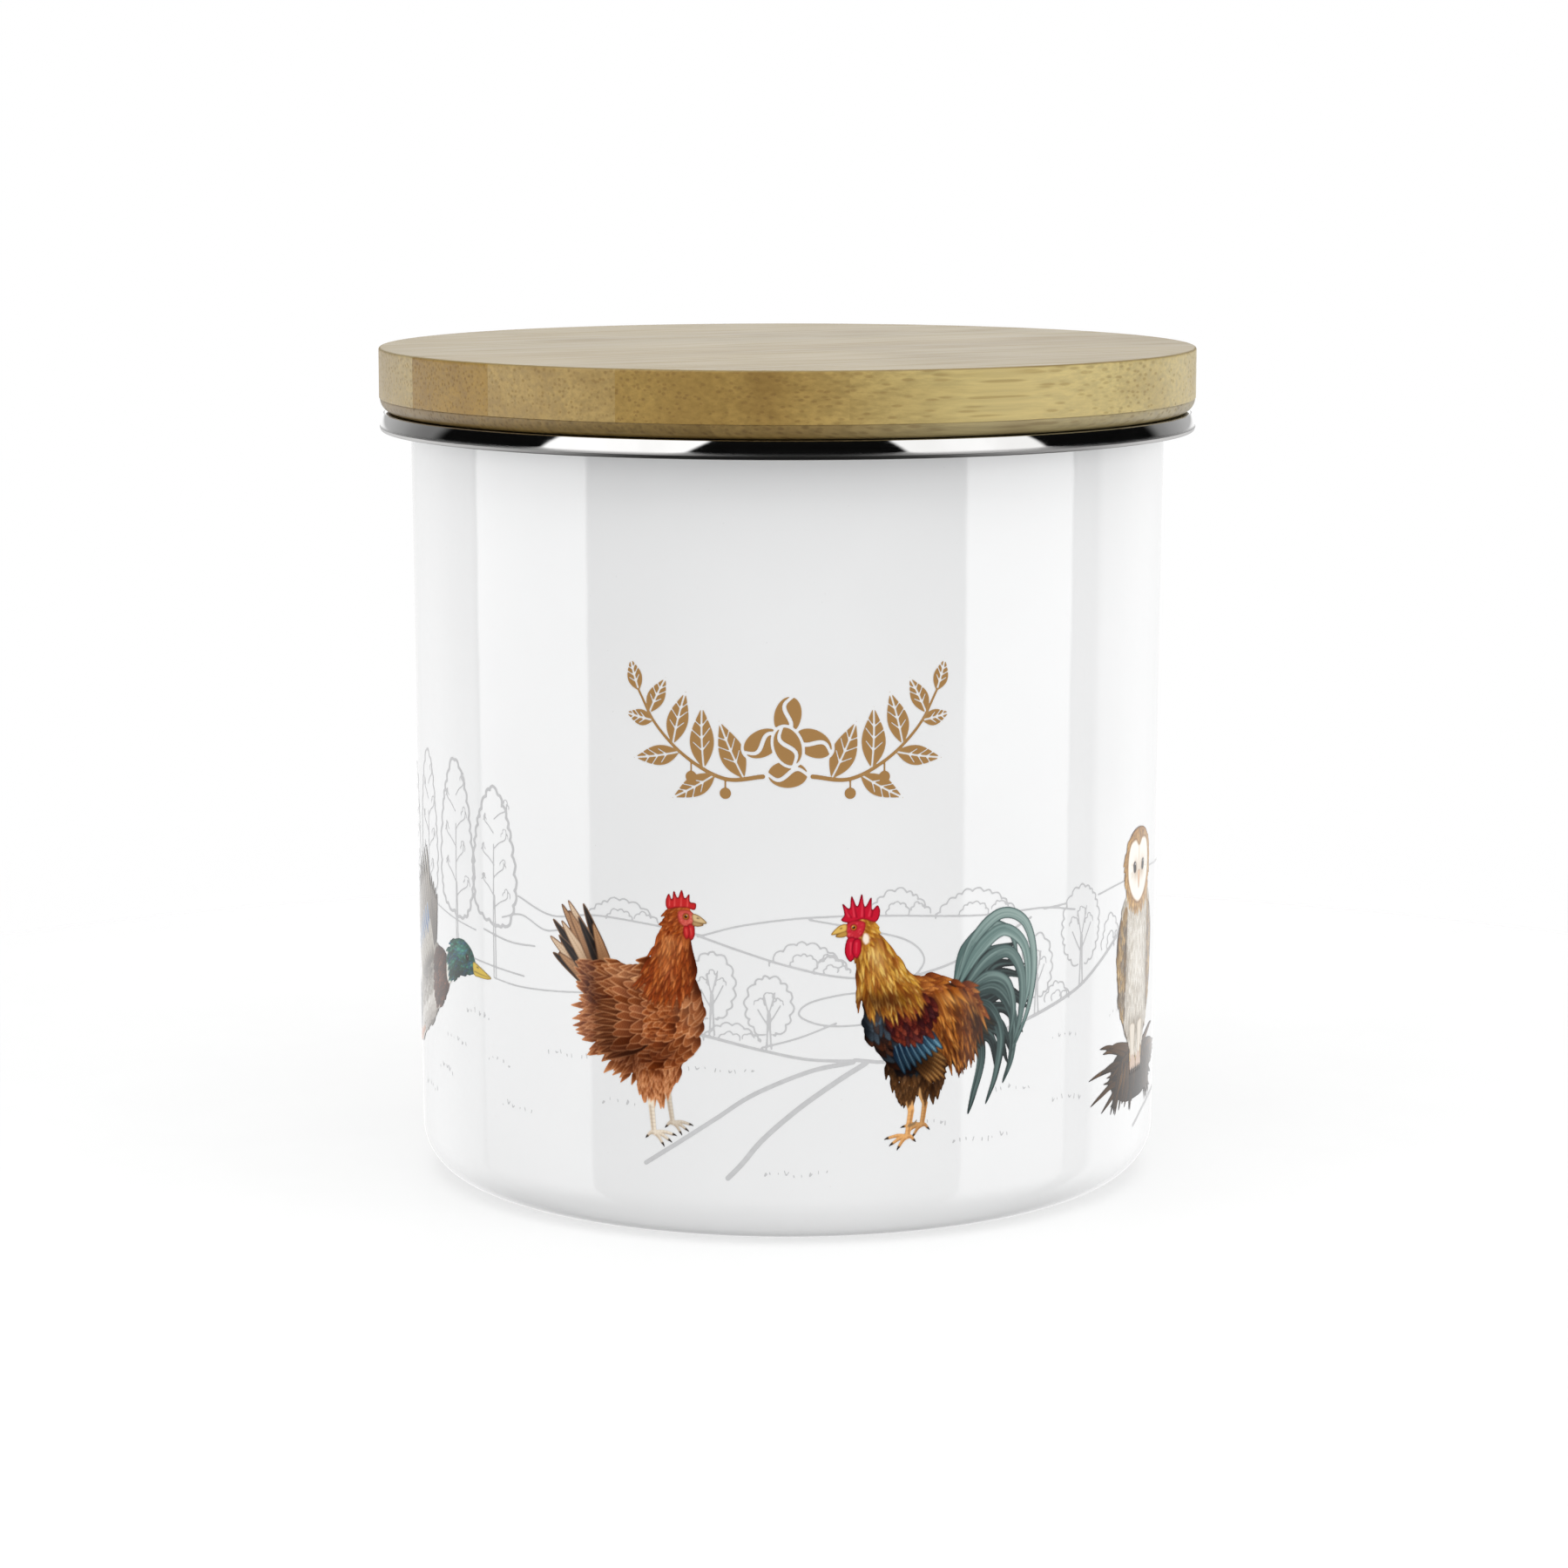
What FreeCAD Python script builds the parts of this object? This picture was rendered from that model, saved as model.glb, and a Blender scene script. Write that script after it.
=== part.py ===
"""Round enamelled steel storage canister with a stainless rim and a bamboo push-in lid.

Frame: millimetres, +Z up, origin at the centre of the foot ring's resting plane.
+Y points to the back, so the printed front faces -Y.

How the object goes together, from the inside out:
  steel_shell     one deep-drawn cup of sheet steel with a flange turned outwards at the mouth
  enamel_outer    the vitreous enamel coat fused to its outside and underside
  enamel_inner    the enamel coat fused to its inside and over the flange
  rim_band        the stainless band that is rolled over the flange and hems its raw edge
  upper_strip_*   bamboo strips glued edge to edge, the upper ply of the lid
  lower_strip_*   bamboo strips of the lower ply, turned down to the plug that enters the mouth
  seal_ring       the silicone ring in the plug's groove, drawn in its fitted shape
"""

import FreeCAD
import Part
import math
import os

V = FreeCAD.Vector

# ---------------------------------------------------------------- driving dimensions
BASE_R = 54.74          # wall line at z = 0, outside
MOUTH_R = 55.52         # wall line at the flange, outside
FLANGE_Z = 111.50       # underside of the flange
FLANGE_R = 58.85        # cut edge of the flange
CORNER_R = 9.10         # outside radius between the wall and the base
RECESS_Z = 1.50         # how far the middle of the base is raised
RECESS_R0 = 37.50       # the flat middle ends here
RECESS_R1 = 40.50       # the foot ring begins here
RECESS_FILLET = 2.00
NECK_FILLET = 1.20      # outside radius under the flange

ENAMEL_T = 0.25         # each enamel coat
STEEL_T = 0.50          # the drawn sheet
WALL_T = 2 * ENAMEL_T + STEEL_T

RIM_T = 0.45            # stainless sheet
RIM_TOP_Z = FLANGE_Z + WALL_T + RIM_T
RIM_INNER_END_Z = 108.90    # how far the band runs down inside the mouth
RIM_R = 59.97           # widest point of the rim
RIM_WIDE_Z = 111.05
RIM_BOTTOM_Z = 110.30
RIM_HEM_R = 57.70       # where the hem ends, under the flange

LID_R = 60.00
LID_TOP_Z = 122.40
GLUE_Z = 115.10         # glue line between the two plies
LID_UNDER_Z = 113.02    # the underside that sits over the rim
LID_TOP_FILLET = 0.50
PLUG_R = 52.00
PLUG_BOTTOM_Z = 107.10
PLUG_CHAMFER = 0.60
GROOVE_R = 50.20
GROOVE_Z0, GROOVE_Z1 = 108.70, 111.50

GRAIN_DEG = 29.0        # the strips run along this direction, anticlockwise from +X
UPPER_SEAMS = [-56.0, -37.0, -18.0, 1.0, 20.0, 39.0]
LOWER_SEAMS = [-46.5, -27.5, -8.5, 10.5, 29.5, 48.5]

SEAL_GAP = 0.05         # running clearance between the ring and its groove
SEAL_BODY_R = 52.10
SEAL_LIP_R = 53.82      # lips as pressed in by the mouth


# ---------------------------------------------------------------- profile helpers
def pt(r, z):
    return V(r, 0, z)


def offset_line(a, b, d):
    """The line a-b moved to its left by d, as two points."""
    dx, dz = b[0] - a[0], b[1] - a[1]
    n = math.hypot(dx, dz)
    nx, nz = -dz / n, dx / n
    return (a[0] + nx * d, a[1] + nz * d), (b[0] + nx * d, b[1] + nz * d)


def meet(l1, l2):
    (x1, y1), (x2, y2) = l1
    (x3, y3), (x4, y4) = l2
    den = (x1 - x2) * (y3 - y4) - (y1 - y2) * (x3 - x4)
    a = x1 * y2 - y1 * x2
    b = x3 * y4 - y3 * x4
    return ((a * (x3 - x4) - (x1 - x2) * b) / den, (a * (y3 - y4) - (y1 - y2) * b) / den)


def offset_path(points, radii, d):
    """An open path moved to its left by d. radii holds one fillet for each inner corner, measured at d = 0."""
    lines = [offset_line(points[i], points[i + 1], d) for i in range(len(points) - 1)]
    out = [lines[0][0]]
    rad = [0.0]
    for i in range(1, len(points) - 1):
        out.append(meet(lines[i - 1], lines[i]))
        a, b, c = points[i - 1], points[i], points[i + 1]
        cross = (b[0] - a[0]) * (c[1] - b[1]) - (b[1] - a[1]) * (c[0] - b[0])
        rad.append(radii[i - 1] - d if cross > 0 else radii[i - 1] + d)
    out.append(lines[-1][1])
    rad.append(0.0)
    return out, rad


def path_edges(points, radii):
    """Lines and tangent arcs along an open path with a fillet at each inner point."""
    edges = []
    here = points[0]
    for i in range(1, len(points)):
        p = points[i]
        if i < len(points) - 1 and radii[i] > 1e-6:
            a, c = points[i - 1], points[i + 1]
            u = (a[0] - p[0], a[1] - p[1])
            w = (c[0] - p[0], c[1] - p[1])
            lu, lw = math.hypot(*u), math.hypot(*w)
            u, w = (u[0] / lu, u[1] / lu), (w[0] / lw, w[1] / lw)
            turn = math.acos(max(-1.0, min(1.0, u[0] * w[0] + u[1] * w[1])))
            t = radii[i] / math.tan(turn / 2)
            s = (p[0] + u[0] * t, p[1] + u[1] * t)
            e = (p[0] + w[0] * t, p[1] + w[1] * t)
            h = math.hypot(u[0] + w[0], u[1] + w[1])
            bis = ((u[0] + w[0]) / h, (u[1] + w[1]) / h)
            reach = radii[i] / math.sin(turn / 2) - radii[i]
            m = (p[0] + bis[0] * reach, p[1] + bis[1] * reach)
            if math.hypot(s[0] - here[0], s[1] - here[1]) > 1e-6:
                edges.append(Part.LineSegment(pt(*here), pt(*s)).toShape())
            edges.append(Part.Arc(pt(*s), pt(*m), pt(*e)).toShape())
            here = e
        else:
            edges.append(Part.LineSegment(pt(*here), pt(*p)).toShape())
            here = p
    return edges


def turned(edges):
    """The solid that a closed profile sweeps about Z."""
    wire = Part.Wire(Part.__sortEdges__(edges))
    face = Part.Face(wire)
    solid = face.revolve(V(0, 0, 0), V(0, 0, 1), 360)
    if solid.ShapeType != "Solid":
        solid = Part.Solid(solid.Shells[0])
    if solid.Volume < 0:
        solid.reverse()
    return solid


def closed(points, radii=None):
    """Edges of a closed loop of points, with optional fillets."""
    n = len(points)
    radii = radii or [0.0] * n
    # Start in the middle of the last side, so that every corner is an inner point.
    a, b = points[-1], points[0]
    mid = ((a[0] + b[0]) / 2, (a[1] + b[1]) / 2)
    return path_edges([mid, *points, mid], [0.0, *radii, 0.0])


def joined(points, radii, points2, radii2):
    """A closed loop of two open paths that run the same way, with straight ends."""
    first = path_edges(points, radii)
    second = path_edges(points2, radii2)
    return [
        *first,
        Part.LineSegment(pt(*points[-1]), pt(*points2[-1])).toShape(),
        *second,
        Part.LineSegment(pt(*points2[0]), pt(*points[0])).toShape(),
    ]


# ---------------------------------------------------------------- the drawn and enamelled cup
CUP = [
    (0.0, RECESS_Z),
    (RECESS_R0, RECESS_Z),
    (RECESS_R1, 0.0),
    (BASE_R, 0.0),
    (MOUTH_R, FLANGE_Z),
    (FLANGE_R, FLANGE_Z),
]
CUP_RADII = [RECESS_FILLET, RECESS_FILLET, CORNER_R, NECK_FILLET]


def cup_layer(d0, d1):
    p0, r0 = offset_path(CUP, CUP_RADII, d0)
    p1, r1 = offset_path(CUP, CUP_RADII, d1)
    return turned(joined(p0, r0, p1, r1))


def rim_band():
    """A sheet rolled from inside the mouth, over the flange, down the outside and hemmed under it."""
    inner, inner_r = offset_path(CUP[3:], [NECK_FILLET], WALL_T)
    outer, outer_r = offset_path(CUP[3:], [NECK_FILLET], WALL_T + RIM_T)

    def wall_r(z, path):
        (r0, z0), (r1, z1) = path[0], path[1]
        return r0 + (r1 - r0) * (z - z0) / (z1 - z0)

    a = (wall_r(RIM_INNER_END_Z, inner), RIM_INNER_END_Z)
    b = (wall_r(RIM_INNER_END_Z, outer), RIM_INNER_END_Z)
    top = RIM_TOP_Z
    # The face against the enamel, then the hem, then back along the face that shows.
    points = [
        a,
        inner[1],
        (59.05, top - RIM_T),
        (RIM_R - RIM_T, RIM_WIDE_Z),
        (RIM_R - RIM_T - 0.10, RIM_BOTTOM_Z + RIM_T),
        (RIM_HEM_R, RIM_BOTTOM_Z + RIM_T),
        (RIM_HEM_R, RIM_BOTTOM_Z),
        (RIM_R - 0.02, RIM_BOTTOM_Z),
        (RIM_R + 0.04, RIM_WIDE_Z),
        (59.30, top),
        outer[1],
        b,
    ]
    radii = [0.0, inner_r[1], 0.25, 0.60, 0.20, 0.0, 0.10, 0.62, 0.80, 0.65, outer_r[1], 0.12]
    return turned(closed(points, radii))


# ---------------------------------------------------------------- the lid
def lower_profile():
    """Round-over at the edge, the plug, and the groove for the ring."""
    e = []
    top_edge = (LID_R - 0.09, GLUE_Z)
    mid_edge = (59.36, 113.72)
    under_edge = (58.05, LID_UNDER_Z)
    e.append(Part.LineSegment(pt(0, GLUE_Z), pt(*top_edge)).toShape())
    e.append(Part.Arc(pt(*top_edge), pt(*mid_edge), pt(*under_edge)).toShape())
    rest = [
        under_edge,
        (PLUG_R, LID_UNDER_Z),
        (PLUG_R, GROOVE_Z1),
        (GROOVE_R, GROOVE_Z1),
        (GROOVE_R, GROOVE_Z0),
        (PLUG_R, GROOVE_Z0),
        (PLUG_R, PLUG_BOTTOM_Z + PLUG_CHAMFER),
        (PLUG_R - PLUG_CHAMFER, PLUG_BOTTOM_Z),
        (0, PLUG_BOTTOM_Z),
        (0, GLUE_Z),
    ]
    for p, q in zip(rest, rest[1:]):
        e.append(Part.LineSegment(pt(*p), pt(*q)).toShape())
    return e


def strips(solid, seams, low, high):
    """The solid sawn into strips along the grain, lowest side first."""
    edges = [-70.0, *seams, 70.0]
    found = []
    for c0, c1 in zip(edges, edges[1:]):
        box = Part.makeBox(160, c1 - c0, high - low + 4, V(-80, c0, low - 2))
        box.rotate(V(0, 0, 0), V(0, 0, 1), GRAIN_DEG)
        piece = solid.common(box)
        found.append(piece.Solids[0] if len(piece.Solids) == 1 else piece)
    return found


def seal_ring():
    """The band in the groove with two thin lips that lean up against the mouth."""
    r0 = GROOVE_R + SEAL_GAP
    z0, z1 = GROOVE_Z0 + SEAL_GAP, GROOVE_Z1 - SEAL_GAP
    rb, rl = SEAL_BODY_R, SEAL_LIP_R
    points = [
        (r0, z0),
        (rb - 0.25, z0),
        (rb, z0 + 0.35),
        (rl, z0 + 0.95),
        (rl, z0 + 1.30),
        (rb, z0 + 1.05),
        (rb, z0 + 1.65),
        (rl, z0 + 2.25),
        (rl, z0 + 2.60),
        (rb, z0 + 2.35),
        (rb - 0.25, z1),
        (r0, z1),
    ]
    radii = [0.15, 0.10, 0.15, 0.14, 0.14, 0.18, 0.18, 0.14, 0.14, 0.12, 0.10, 0.15]
    return turned(closed(points, radii))


# ---------------------------------------------------------------- build
def main():
    os.makedirs("parts", exist_ok=True)
    nodes = {
        "enamel_outer": cup_layer(0.0, ENAMEL_T),
        "steel_shell": cup_layer(ENAMEL_T, ENAMEL_T + STEEL_T),
        "enamel_inner": cup_layer(ENAMEL_T + STEEL_T, WALL_T),
        "rim_band": rim_band(),
    }

    upper = turned(
        closed(
            [(0, GLUE_Z), (LID_R, GLUE_Z), (LID_R, LID_TOP_Z), (0, LID_TOP_Z)],
            [0.0, 0.0, LID_TOP_FILLET, 0.0],
        )
    )
    lower = turned(lower_profile())
    for i, s in enumerate(strips(upper, UPPER_SEAMS, GLUE_Z, LID_TOP_Z), 1):
        nodes[f"upper_strip_{i}"] = s
    for i, s in enumerate(strips(lower, LOWER_SEAMS, PLUG_BOTTOM_Z, GLUE_Z), 1):
        nodes[f"lower_strip_{i}"] = s
    nodes["seal_ring"] = seal_ring()

    for name, shape in nodes.items():
        bb = shape.BoundBox
        print(
            f"{name:16s} valid={shape.isValid()} solids={len(shape.Solids)} vol={shape.Volume:10.1f} "
            f"r<= {max(bb.XMax, bb.YMax):.2f} z {bb.ZMin:.2f}..{bb.ZMax:.2f}"
        )
        shape.exportStep(f"parts/{name}.step")


main()
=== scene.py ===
"""The looks of a round enamelled storage canister with a stainless rim and a bamboo push-in lid.

Everything is in the row frame: +Z up, -Y towards the middle of the printed front. Lengths in this
file are millimetres; put() turns them into metres when a mesh is made.
"""
import math

import numpy as np

import bmesh
import bpy
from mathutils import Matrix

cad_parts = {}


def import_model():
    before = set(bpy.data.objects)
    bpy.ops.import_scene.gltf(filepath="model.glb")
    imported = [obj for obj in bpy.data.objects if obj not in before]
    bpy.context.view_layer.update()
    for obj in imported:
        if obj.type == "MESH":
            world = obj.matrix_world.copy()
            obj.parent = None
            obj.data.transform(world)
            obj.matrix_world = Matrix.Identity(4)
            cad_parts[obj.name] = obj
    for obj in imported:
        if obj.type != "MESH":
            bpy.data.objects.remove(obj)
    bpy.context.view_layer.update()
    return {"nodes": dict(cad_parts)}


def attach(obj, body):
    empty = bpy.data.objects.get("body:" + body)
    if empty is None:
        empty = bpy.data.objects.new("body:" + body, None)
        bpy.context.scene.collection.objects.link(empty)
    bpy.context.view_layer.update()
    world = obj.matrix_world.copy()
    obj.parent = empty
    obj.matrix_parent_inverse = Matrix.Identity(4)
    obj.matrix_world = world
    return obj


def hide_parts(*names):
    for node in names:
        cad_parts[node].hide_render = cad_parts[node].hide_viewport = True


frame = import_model()
MM = 0.001
RNG = np.random.default_rng(7)

# ---------------------------------------------------------------- sizes, the same as the CAD's
BASE_R, MOUTH_R, FLANGE_Z, FLANGE_R = 54.74, 55.52, 111.50, 58.85
CORNER_R, RECESS_Z, RECESS_R0, RECESS_R1, RECESS_FILLET, NECK_FILLET = 9.10, 1.50, 37.50, 40.50, 2.00, 1.20
ENAMEL_T, STEEL_T = 0.25, 0.50
WALL_T = 2 * ENAMEL_T + STEEL_T
RIM_T = 0.45
RIM_TOP_Z = FLANGE_Z + WALL_T + RIM_T
RIM_R = 59.97
LID_R, LID_TOP_Z, GLUE_Z, LID_UNDER_Z = 60.00, 122.40, 115.10, 113.02
PLUG_R, PLUG_BOTTOM_Z, GROOVE_R, GROOVE_Z0, GROOVE_Z1 = 52.00, 107.10, 50.20, 108.70, 111.50
GRAIN = math.radians(29.0)
UPPER_SEAMS = [-56.0, -37.0, -18.0, 1.0, 20.0, 39.0]
LOWER_SEAMS = [-46.5, -27.5, -8.5, 10.5, 29.5, 48.5]


# ---------------------------------------------------------------- outlines
def offset_path(points, radii, d):
    lines = []
    for a, b in zip(points, points[1:]):
        dx, dz = b[0] - a[0], b[1] - a[1]
        n = math.hypot(dx, dz)
        nx, nz = -dz / n * d, dx / n * d
        lines.append(((a[0] + nx, a[1] + nz), (b[0] + nx, b[1] + nz)))
    out, rad = [lines[0][0]], [0.0]
    for i in range(1, len(points) - 1):
        (x1, y1), (x2, y2) = lines[i - 1]
        (x3, y3), (x4, y4) = lines[i]
        den = (x1 - x2) * (y3 - y4) - (y1 - y2) * (x3 - x4)
        a, b = x1 * y2 - y1 * x2, x3 * y4 - y3 * x4
        out.append(((a * (x3 - x4) - (x1 - x2) * b) / den, (a * (y3 - y4) - (y1 - y2) * b) / den))
        p, q, r = points[i - 1], points[i], points[i + 1]
        cross = (q[0] - p[0]) * (r[1] - q[1]) - (q[1] - p[1]) * (r[0] - q[0])
        rad.append(radii[i - 1] - d if cross > 0 else radii[i - 1] + d)
    out.append(lines[-1][1])
    rad.append(0.0)
    return out, rad


def rounded(points, radii, arc=6, step=4.0):
    """Points along an open path with its corners rounded; straight runs are divided every step mm."""
    out = [points[0]]

    def line_to(p):
        a = out[-1]
        n = max(1, int(math.hypot(p[0] - a[0], p[1] - a[1]) / step))
        for i in range(1, n + 1):
            out.append((a[0] + (p[0] - a[0]) * i / n, a[1] + (p[1] - a[1]) * i / n))

    for i in range(1, len(points)):
        p = points[i]
        if i < len(points) - 1 and radii[i] > 1e-6:
            a, c = points[i - 1], points[i + 1]
            u = (a[0] - p[0], a[1] - p[1])
            w = (c[0] - p[0], c[1] - p[1])
            lu, lw = math.hypot(*u), math.hypot(*w)
            u, w = (u[0] / lu, u[1] / lu), (w[0] / lw, w[1] / lw)
            half = math.acos(max(-1.0, min(1.0, u[0] * w[0] + u[1] * w[1]))) / 2
            t = min(radii[i] / math.tan(half), 0.49 * lu, 0.49 * lw)
            r = t * math.tan(half)
            h = math.hypot(u[0] + w[0], u[1] + w[1])
            centre = (p[0] + (u[0] + w[0]) / h * r / math.sin(half), p[1] + (u[1] + w[1]) / h * r / math.sin(half))
            s = (p[0] + u[0] * t, p[1] + u[1] * t)
            e = (p[0] + w[0] * t, p[1] + w[1] * t)
            line_to(s)
            a0 = math.atan2(s[1] - centre[1], s[0] - centre[0])
            a1 = math.atan2(e[1] - centre[1], e[0] - centre[0])
            while a1 - a0 > math.pi:
                a1 -= 2 * math.pi
            while a1 - a0 < -math.pi:
                a1 += 2 * math.pi
            for k in range(1, arc + 1):
                q = a0 + (a1 - a0) * k / arc
                out.append((centre[0] + r * math.cos(q), centre[1] + r * math.sin(q)))
        else:
            line_to(p)
    clean = [out[0]]
    for p in out[1:]:
        if math.hypot(p[0] - clean[-1][0], p[1] - clean[-1][1]) > 1e-4:
            clean.append(p)
    return clean


def wall_r(z):
    return BASE_R + (MOUTH_R - BASE_R) * z / FLANGE_Z


# ---------------------------------------------------------------- meshes
def put(name, verts, faces, smooth=True, materials=()):
    me = bpy.data.meshes.new(name)
    me.from_pydata([(x * MM, y * MM, z * MM) for x, y, z in verts], [], faces)
    me.validate()
    me.update()
    o = bpy.data.objects.new(name, me)
    bpy.context.scene.collection.objects.link(o)
    if smooth:
        me.polygons.foreach_set("use_smooth", [True] * len(me.polygons))
    for m in materials:
        me.materials.append(m)
    return o


def put_np(name, verts, faces, materials=(), smooth=True):
    """The same from arrays: verts (n, 3) in mm, faces a list of lists."""
    return put(name, verts.tolist(), faces, smooth, materials)


def lathe_data(profile, seg, closed):
    """Rings of a turned surface. A profile that starts or ends on the axis gets one vertex there."""
    verts, rows = [], []
    for r, z in profile:
        if r < 1e-6:
            rows.append([len(verts)] * seg)
            verts.append((0.0, 0.0, z))
        else:
            base = len(verts)
            rows.append([base + k for k in range(seg)])
            for k in range(seg):
                a = 2 * math.pi * k / seg
                verts.append((r * math.cos(a), r * math.sin(a), z))
    faces = []
    n = len(rows)
    for i in range(n if closed else n - 1):
        a, b = rows[i], rows[(i + 1) % n]
        for k in range(seg):
            k2 = (k + 1) % seg
            f = [a[k], a[k2], b[k2], b[k]]
            g = []
            for v in f:
                if v not in g:
                    g.append(v)
            if len(g) > 2:
                faces.append(g)
    return verts, faces


def lathe(name, profile, seg=240, closed=True, materials=()):
    v, f = lathe_data(profile, seg, closed)
    return put(name, v, f, True, materials)


def outward(o):
    """Makes every face look out of the solid."""
    bm = bmesh.new()
    bm.from_mesh(o.data)
    bmesh.ops.recalc_face_normals(bm, faces=bm.faces)
    bm.to_mesh(o.data)
    bm.free()
    return o


def crease(o, degrees):
    """Edges that turn by more than this are sharp in the shading."""
    bm = bmesh.new()
    bm.from_mesh(o.data)
    for e in bm.edges:
        e.smooth = len(e.link_faces) == 2 and e.calc_face_angle(0.0) < math.radians(degrees)
    bm.to_mesh(o.data)
    bm.free()
    return o


# ---------------------------------------------------------------- materials
def new_material(name):
    m = bpy.data.materials.new(name)
    m.use_nodes = True
    nt = m.node_tree
    nt.nodes.clear()
    out = nt.nodes.new("ShaderNodeOutputMaterial")
    b = nt.nodes.new("ShaderNodeBsdfPrincipled")
    nt.links.new(b.outputs[0], out.inputs[0])
    return m, nt, b


class Net:
    """Short names for shader nodes."""

    def __init__(self, nt):
        self.nt = nt

    def node(self, kind, **kw):
        n = self.nt.nodes.new(kind)
        for k, v in kw.items():
            setattr(n, k, v)
        return n

    def set(self, socket, value):
        if isinstance(value, bpy.types.NodeSocket):
            self.nt.links.new(value, socket)
        else:
            socket.default_value = value

    def math(self, op, a, b=None, c=None, clamp=False):
        n = self.node("ShaderNodeMath", operation=op, use_clamp=clamp)
        for s, v in zip(n.inputs, (a, b, c)):
            if v is not None:
                self.set(s, v)
        return n.outputs[0]

    def ramp(self, v, lo, hi, a=0.0, b=1.0, soft=True):
        n = self.node("ShaderNodeMapRange", interpolation_type="SMOOTHSTEP" if soft else "LINEAR")
        n.clamp = True
        for s, x in zip(n.inputs, (v, lo, hi, a, b)):
            self.set(s, x)
        return n.outputs[0]

    def mix(self, f, a, b, blend="MIX"):
        n = self.node("ShaderNodeMix", data_type="RGBA", blend_type=blend)
        self.set(n.inputs[0], f)
        for s, v in ((n.inputs[6], a), (n.inputs[7], b)):
            self.set(s, (*v, 1.0) if isinstance(v, tuple) and len(v) == 3 else v)
        return n.outputs[2]

    def noise(self, vec, scale, detail=3.0, rough=0.5, distortion=0.0, out=0):
        n = self.node("ShaderNodeTexNoise")
        self.set(n.inputs["Vector"], vec)
        n.inputs["Scale"].default_value = scale
        n.inputs["Detail"].default_value = detail
        n.inputs["Roughness"].default_value = rough
        n.inputs["Distortion"].default_value = distortion
        return n.outputs[out]

    def vec(self, x, y, z):
        n = self.node("ShaderNodeCombineXYZ")
        for s, v in zip(n.inputs, (x, y, z)):
            self.set(s, v)
        return n.outputs[0]

    def split(self, v):
        n = self.node("ShaderNodeSeparateXYZ")
        self.set(n.inputs[0], v)
        return n.outputs

    def bump(self, height, distance, strength=1.0, normal=None):
        n = self.node("ShaderNodeBump")
        n.inputs["Strength"].default_value = strength
        n.inputs["Distance"].default_value = distance
        self.set(n.inputs["Height"], height)
        if normal is not None:
            self.set(n.inputs["Normal"], normal)
        return n.outputs[0]

    def coords(self):
        return self.node("ShaderNodeTexCoord").outputs["Object"]


def lin(c):
    """Linear colour from a 0-255 display colour."""
    c = np.asarray(c, float) / 255.0
    c = np.where(c <= 0.04045, c / 12.92, ((c + 0.055) / 1.055) ** 2.4)
    return tuple(float(x) for x in c)


def enamel_material(name, tone, waves):
    """Fused white glass: a soft fired surface, a little uneven in thickness and tone."""
    m, nt, b = new_material(name)
    n = Net(nt)
    p = n.coords()
    cloud = n.noise(p, 38.0, 2.0, 0.5)
    fine = n.noise(p, 900.0, 2.0, 0.6)
    speck = n.noise(p, 2600.0, 1.0, 0.5)
    base = n.mix(n.ramp(cloud, 0.35, 0.65), tuple(t * 0.985 for t in tone), tone)
    pin = n.ramp(speck, 0.80, 0.86)
    base = n.mix(n.math("MULTIPLY", pin, 0.35), base, (0.42, 0.41, 0.39))
    nt.links.new(base, b.inputs["Base Color"])
    rough = n.ramp(fine, 0.3, 0.7, 0.035, 0.065)
    nt.links.new(rough, b.inputs["Roughness"])
    b.inputs["IOR"].default_value = 1.52
    height = n.math("ADD", n.math("MULTIPLY", n.noise(p, 70.0, 1.0, 0.5), 1.0), n.math("MULTIPLY", n.noise(p, 330.0, 1.0, 0.5), 0.16))
    nt.links.new(n.bump(height, waves, 1.0), b.inputs["Normal"])
    return m


def steel_material(name, polished):
    m, nt, b = new_material(name)
    n = Net(nt)
    p = n.coords()
    x, y, z = n.split(p)
    around = n.math("ARCTAN2", y, x)
    radius = n.math("SQRT", n.math("ADD", n.math("MULTIPLY", x, x), n.math("MULTIPLY", y, y)))
    # buffing lines run round the band
    q = n.vec(n.math("MULTIPLY", around, 3.0), n.math("MULTIPLY", radius, 9000.0), n.math("MULTIPLY", z, 9000.0))
    lines = n.noise(q, 1.0, 3.0, 0.6)
    smudge = n.noise(p, 90.0, 3.0, 0.55)
    if polished:
        bright = n.mix(n.ramp(smudge, 0.3, 0.7), (0.63, 0.625, 0.615), (0.70, 0.695, 0.69))
        # the lower part of the roll is painted dark: painted shade and a painted dark reflection below the crown
        nt.links.new(n.mix(n.ramp(z, 111.36 * MM, 110.94 * MM), bright, (0.33, 0.325, 0.32)), b.inputs["Base Color"])
        # the hem is duller than the crown of the roll
        hem = n.ramp(z, 111.50 * MM, 110.85 * MM, 0.0, 0.30)
        buffed = n.math("ADD", n.ramp(lines, 0.3, 0.7, 0.025, 0.055), n.ramp(smudge, 0.5, 0.8, 0.0, 0.03))
        nt.links.new(n.math("ADD", buffed, hem), b.inputs["Roughness"])
        nt.links.new(n.bump(lines, 0.000001, 0.5), b.inputs["Normal"])
    else:
        nt.links.new(n.mix(n.ramp(smudge, 0.3, 0.7), (0.16, 0.16, 0.17), (0.24, 0.24, 0.25)), b.inputs["Base Color"])
        nt.links.new(n.ramp(lines, 0.3, 0.7, 0.35, 0.6), b.inputs["Roughness"])
        nt.links.new(n.bump(lines, 0.00001, 0.6), b.inputs["Normal"])
    b.inputs["Metallic"].default_value = 1.0
    return m


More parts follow.
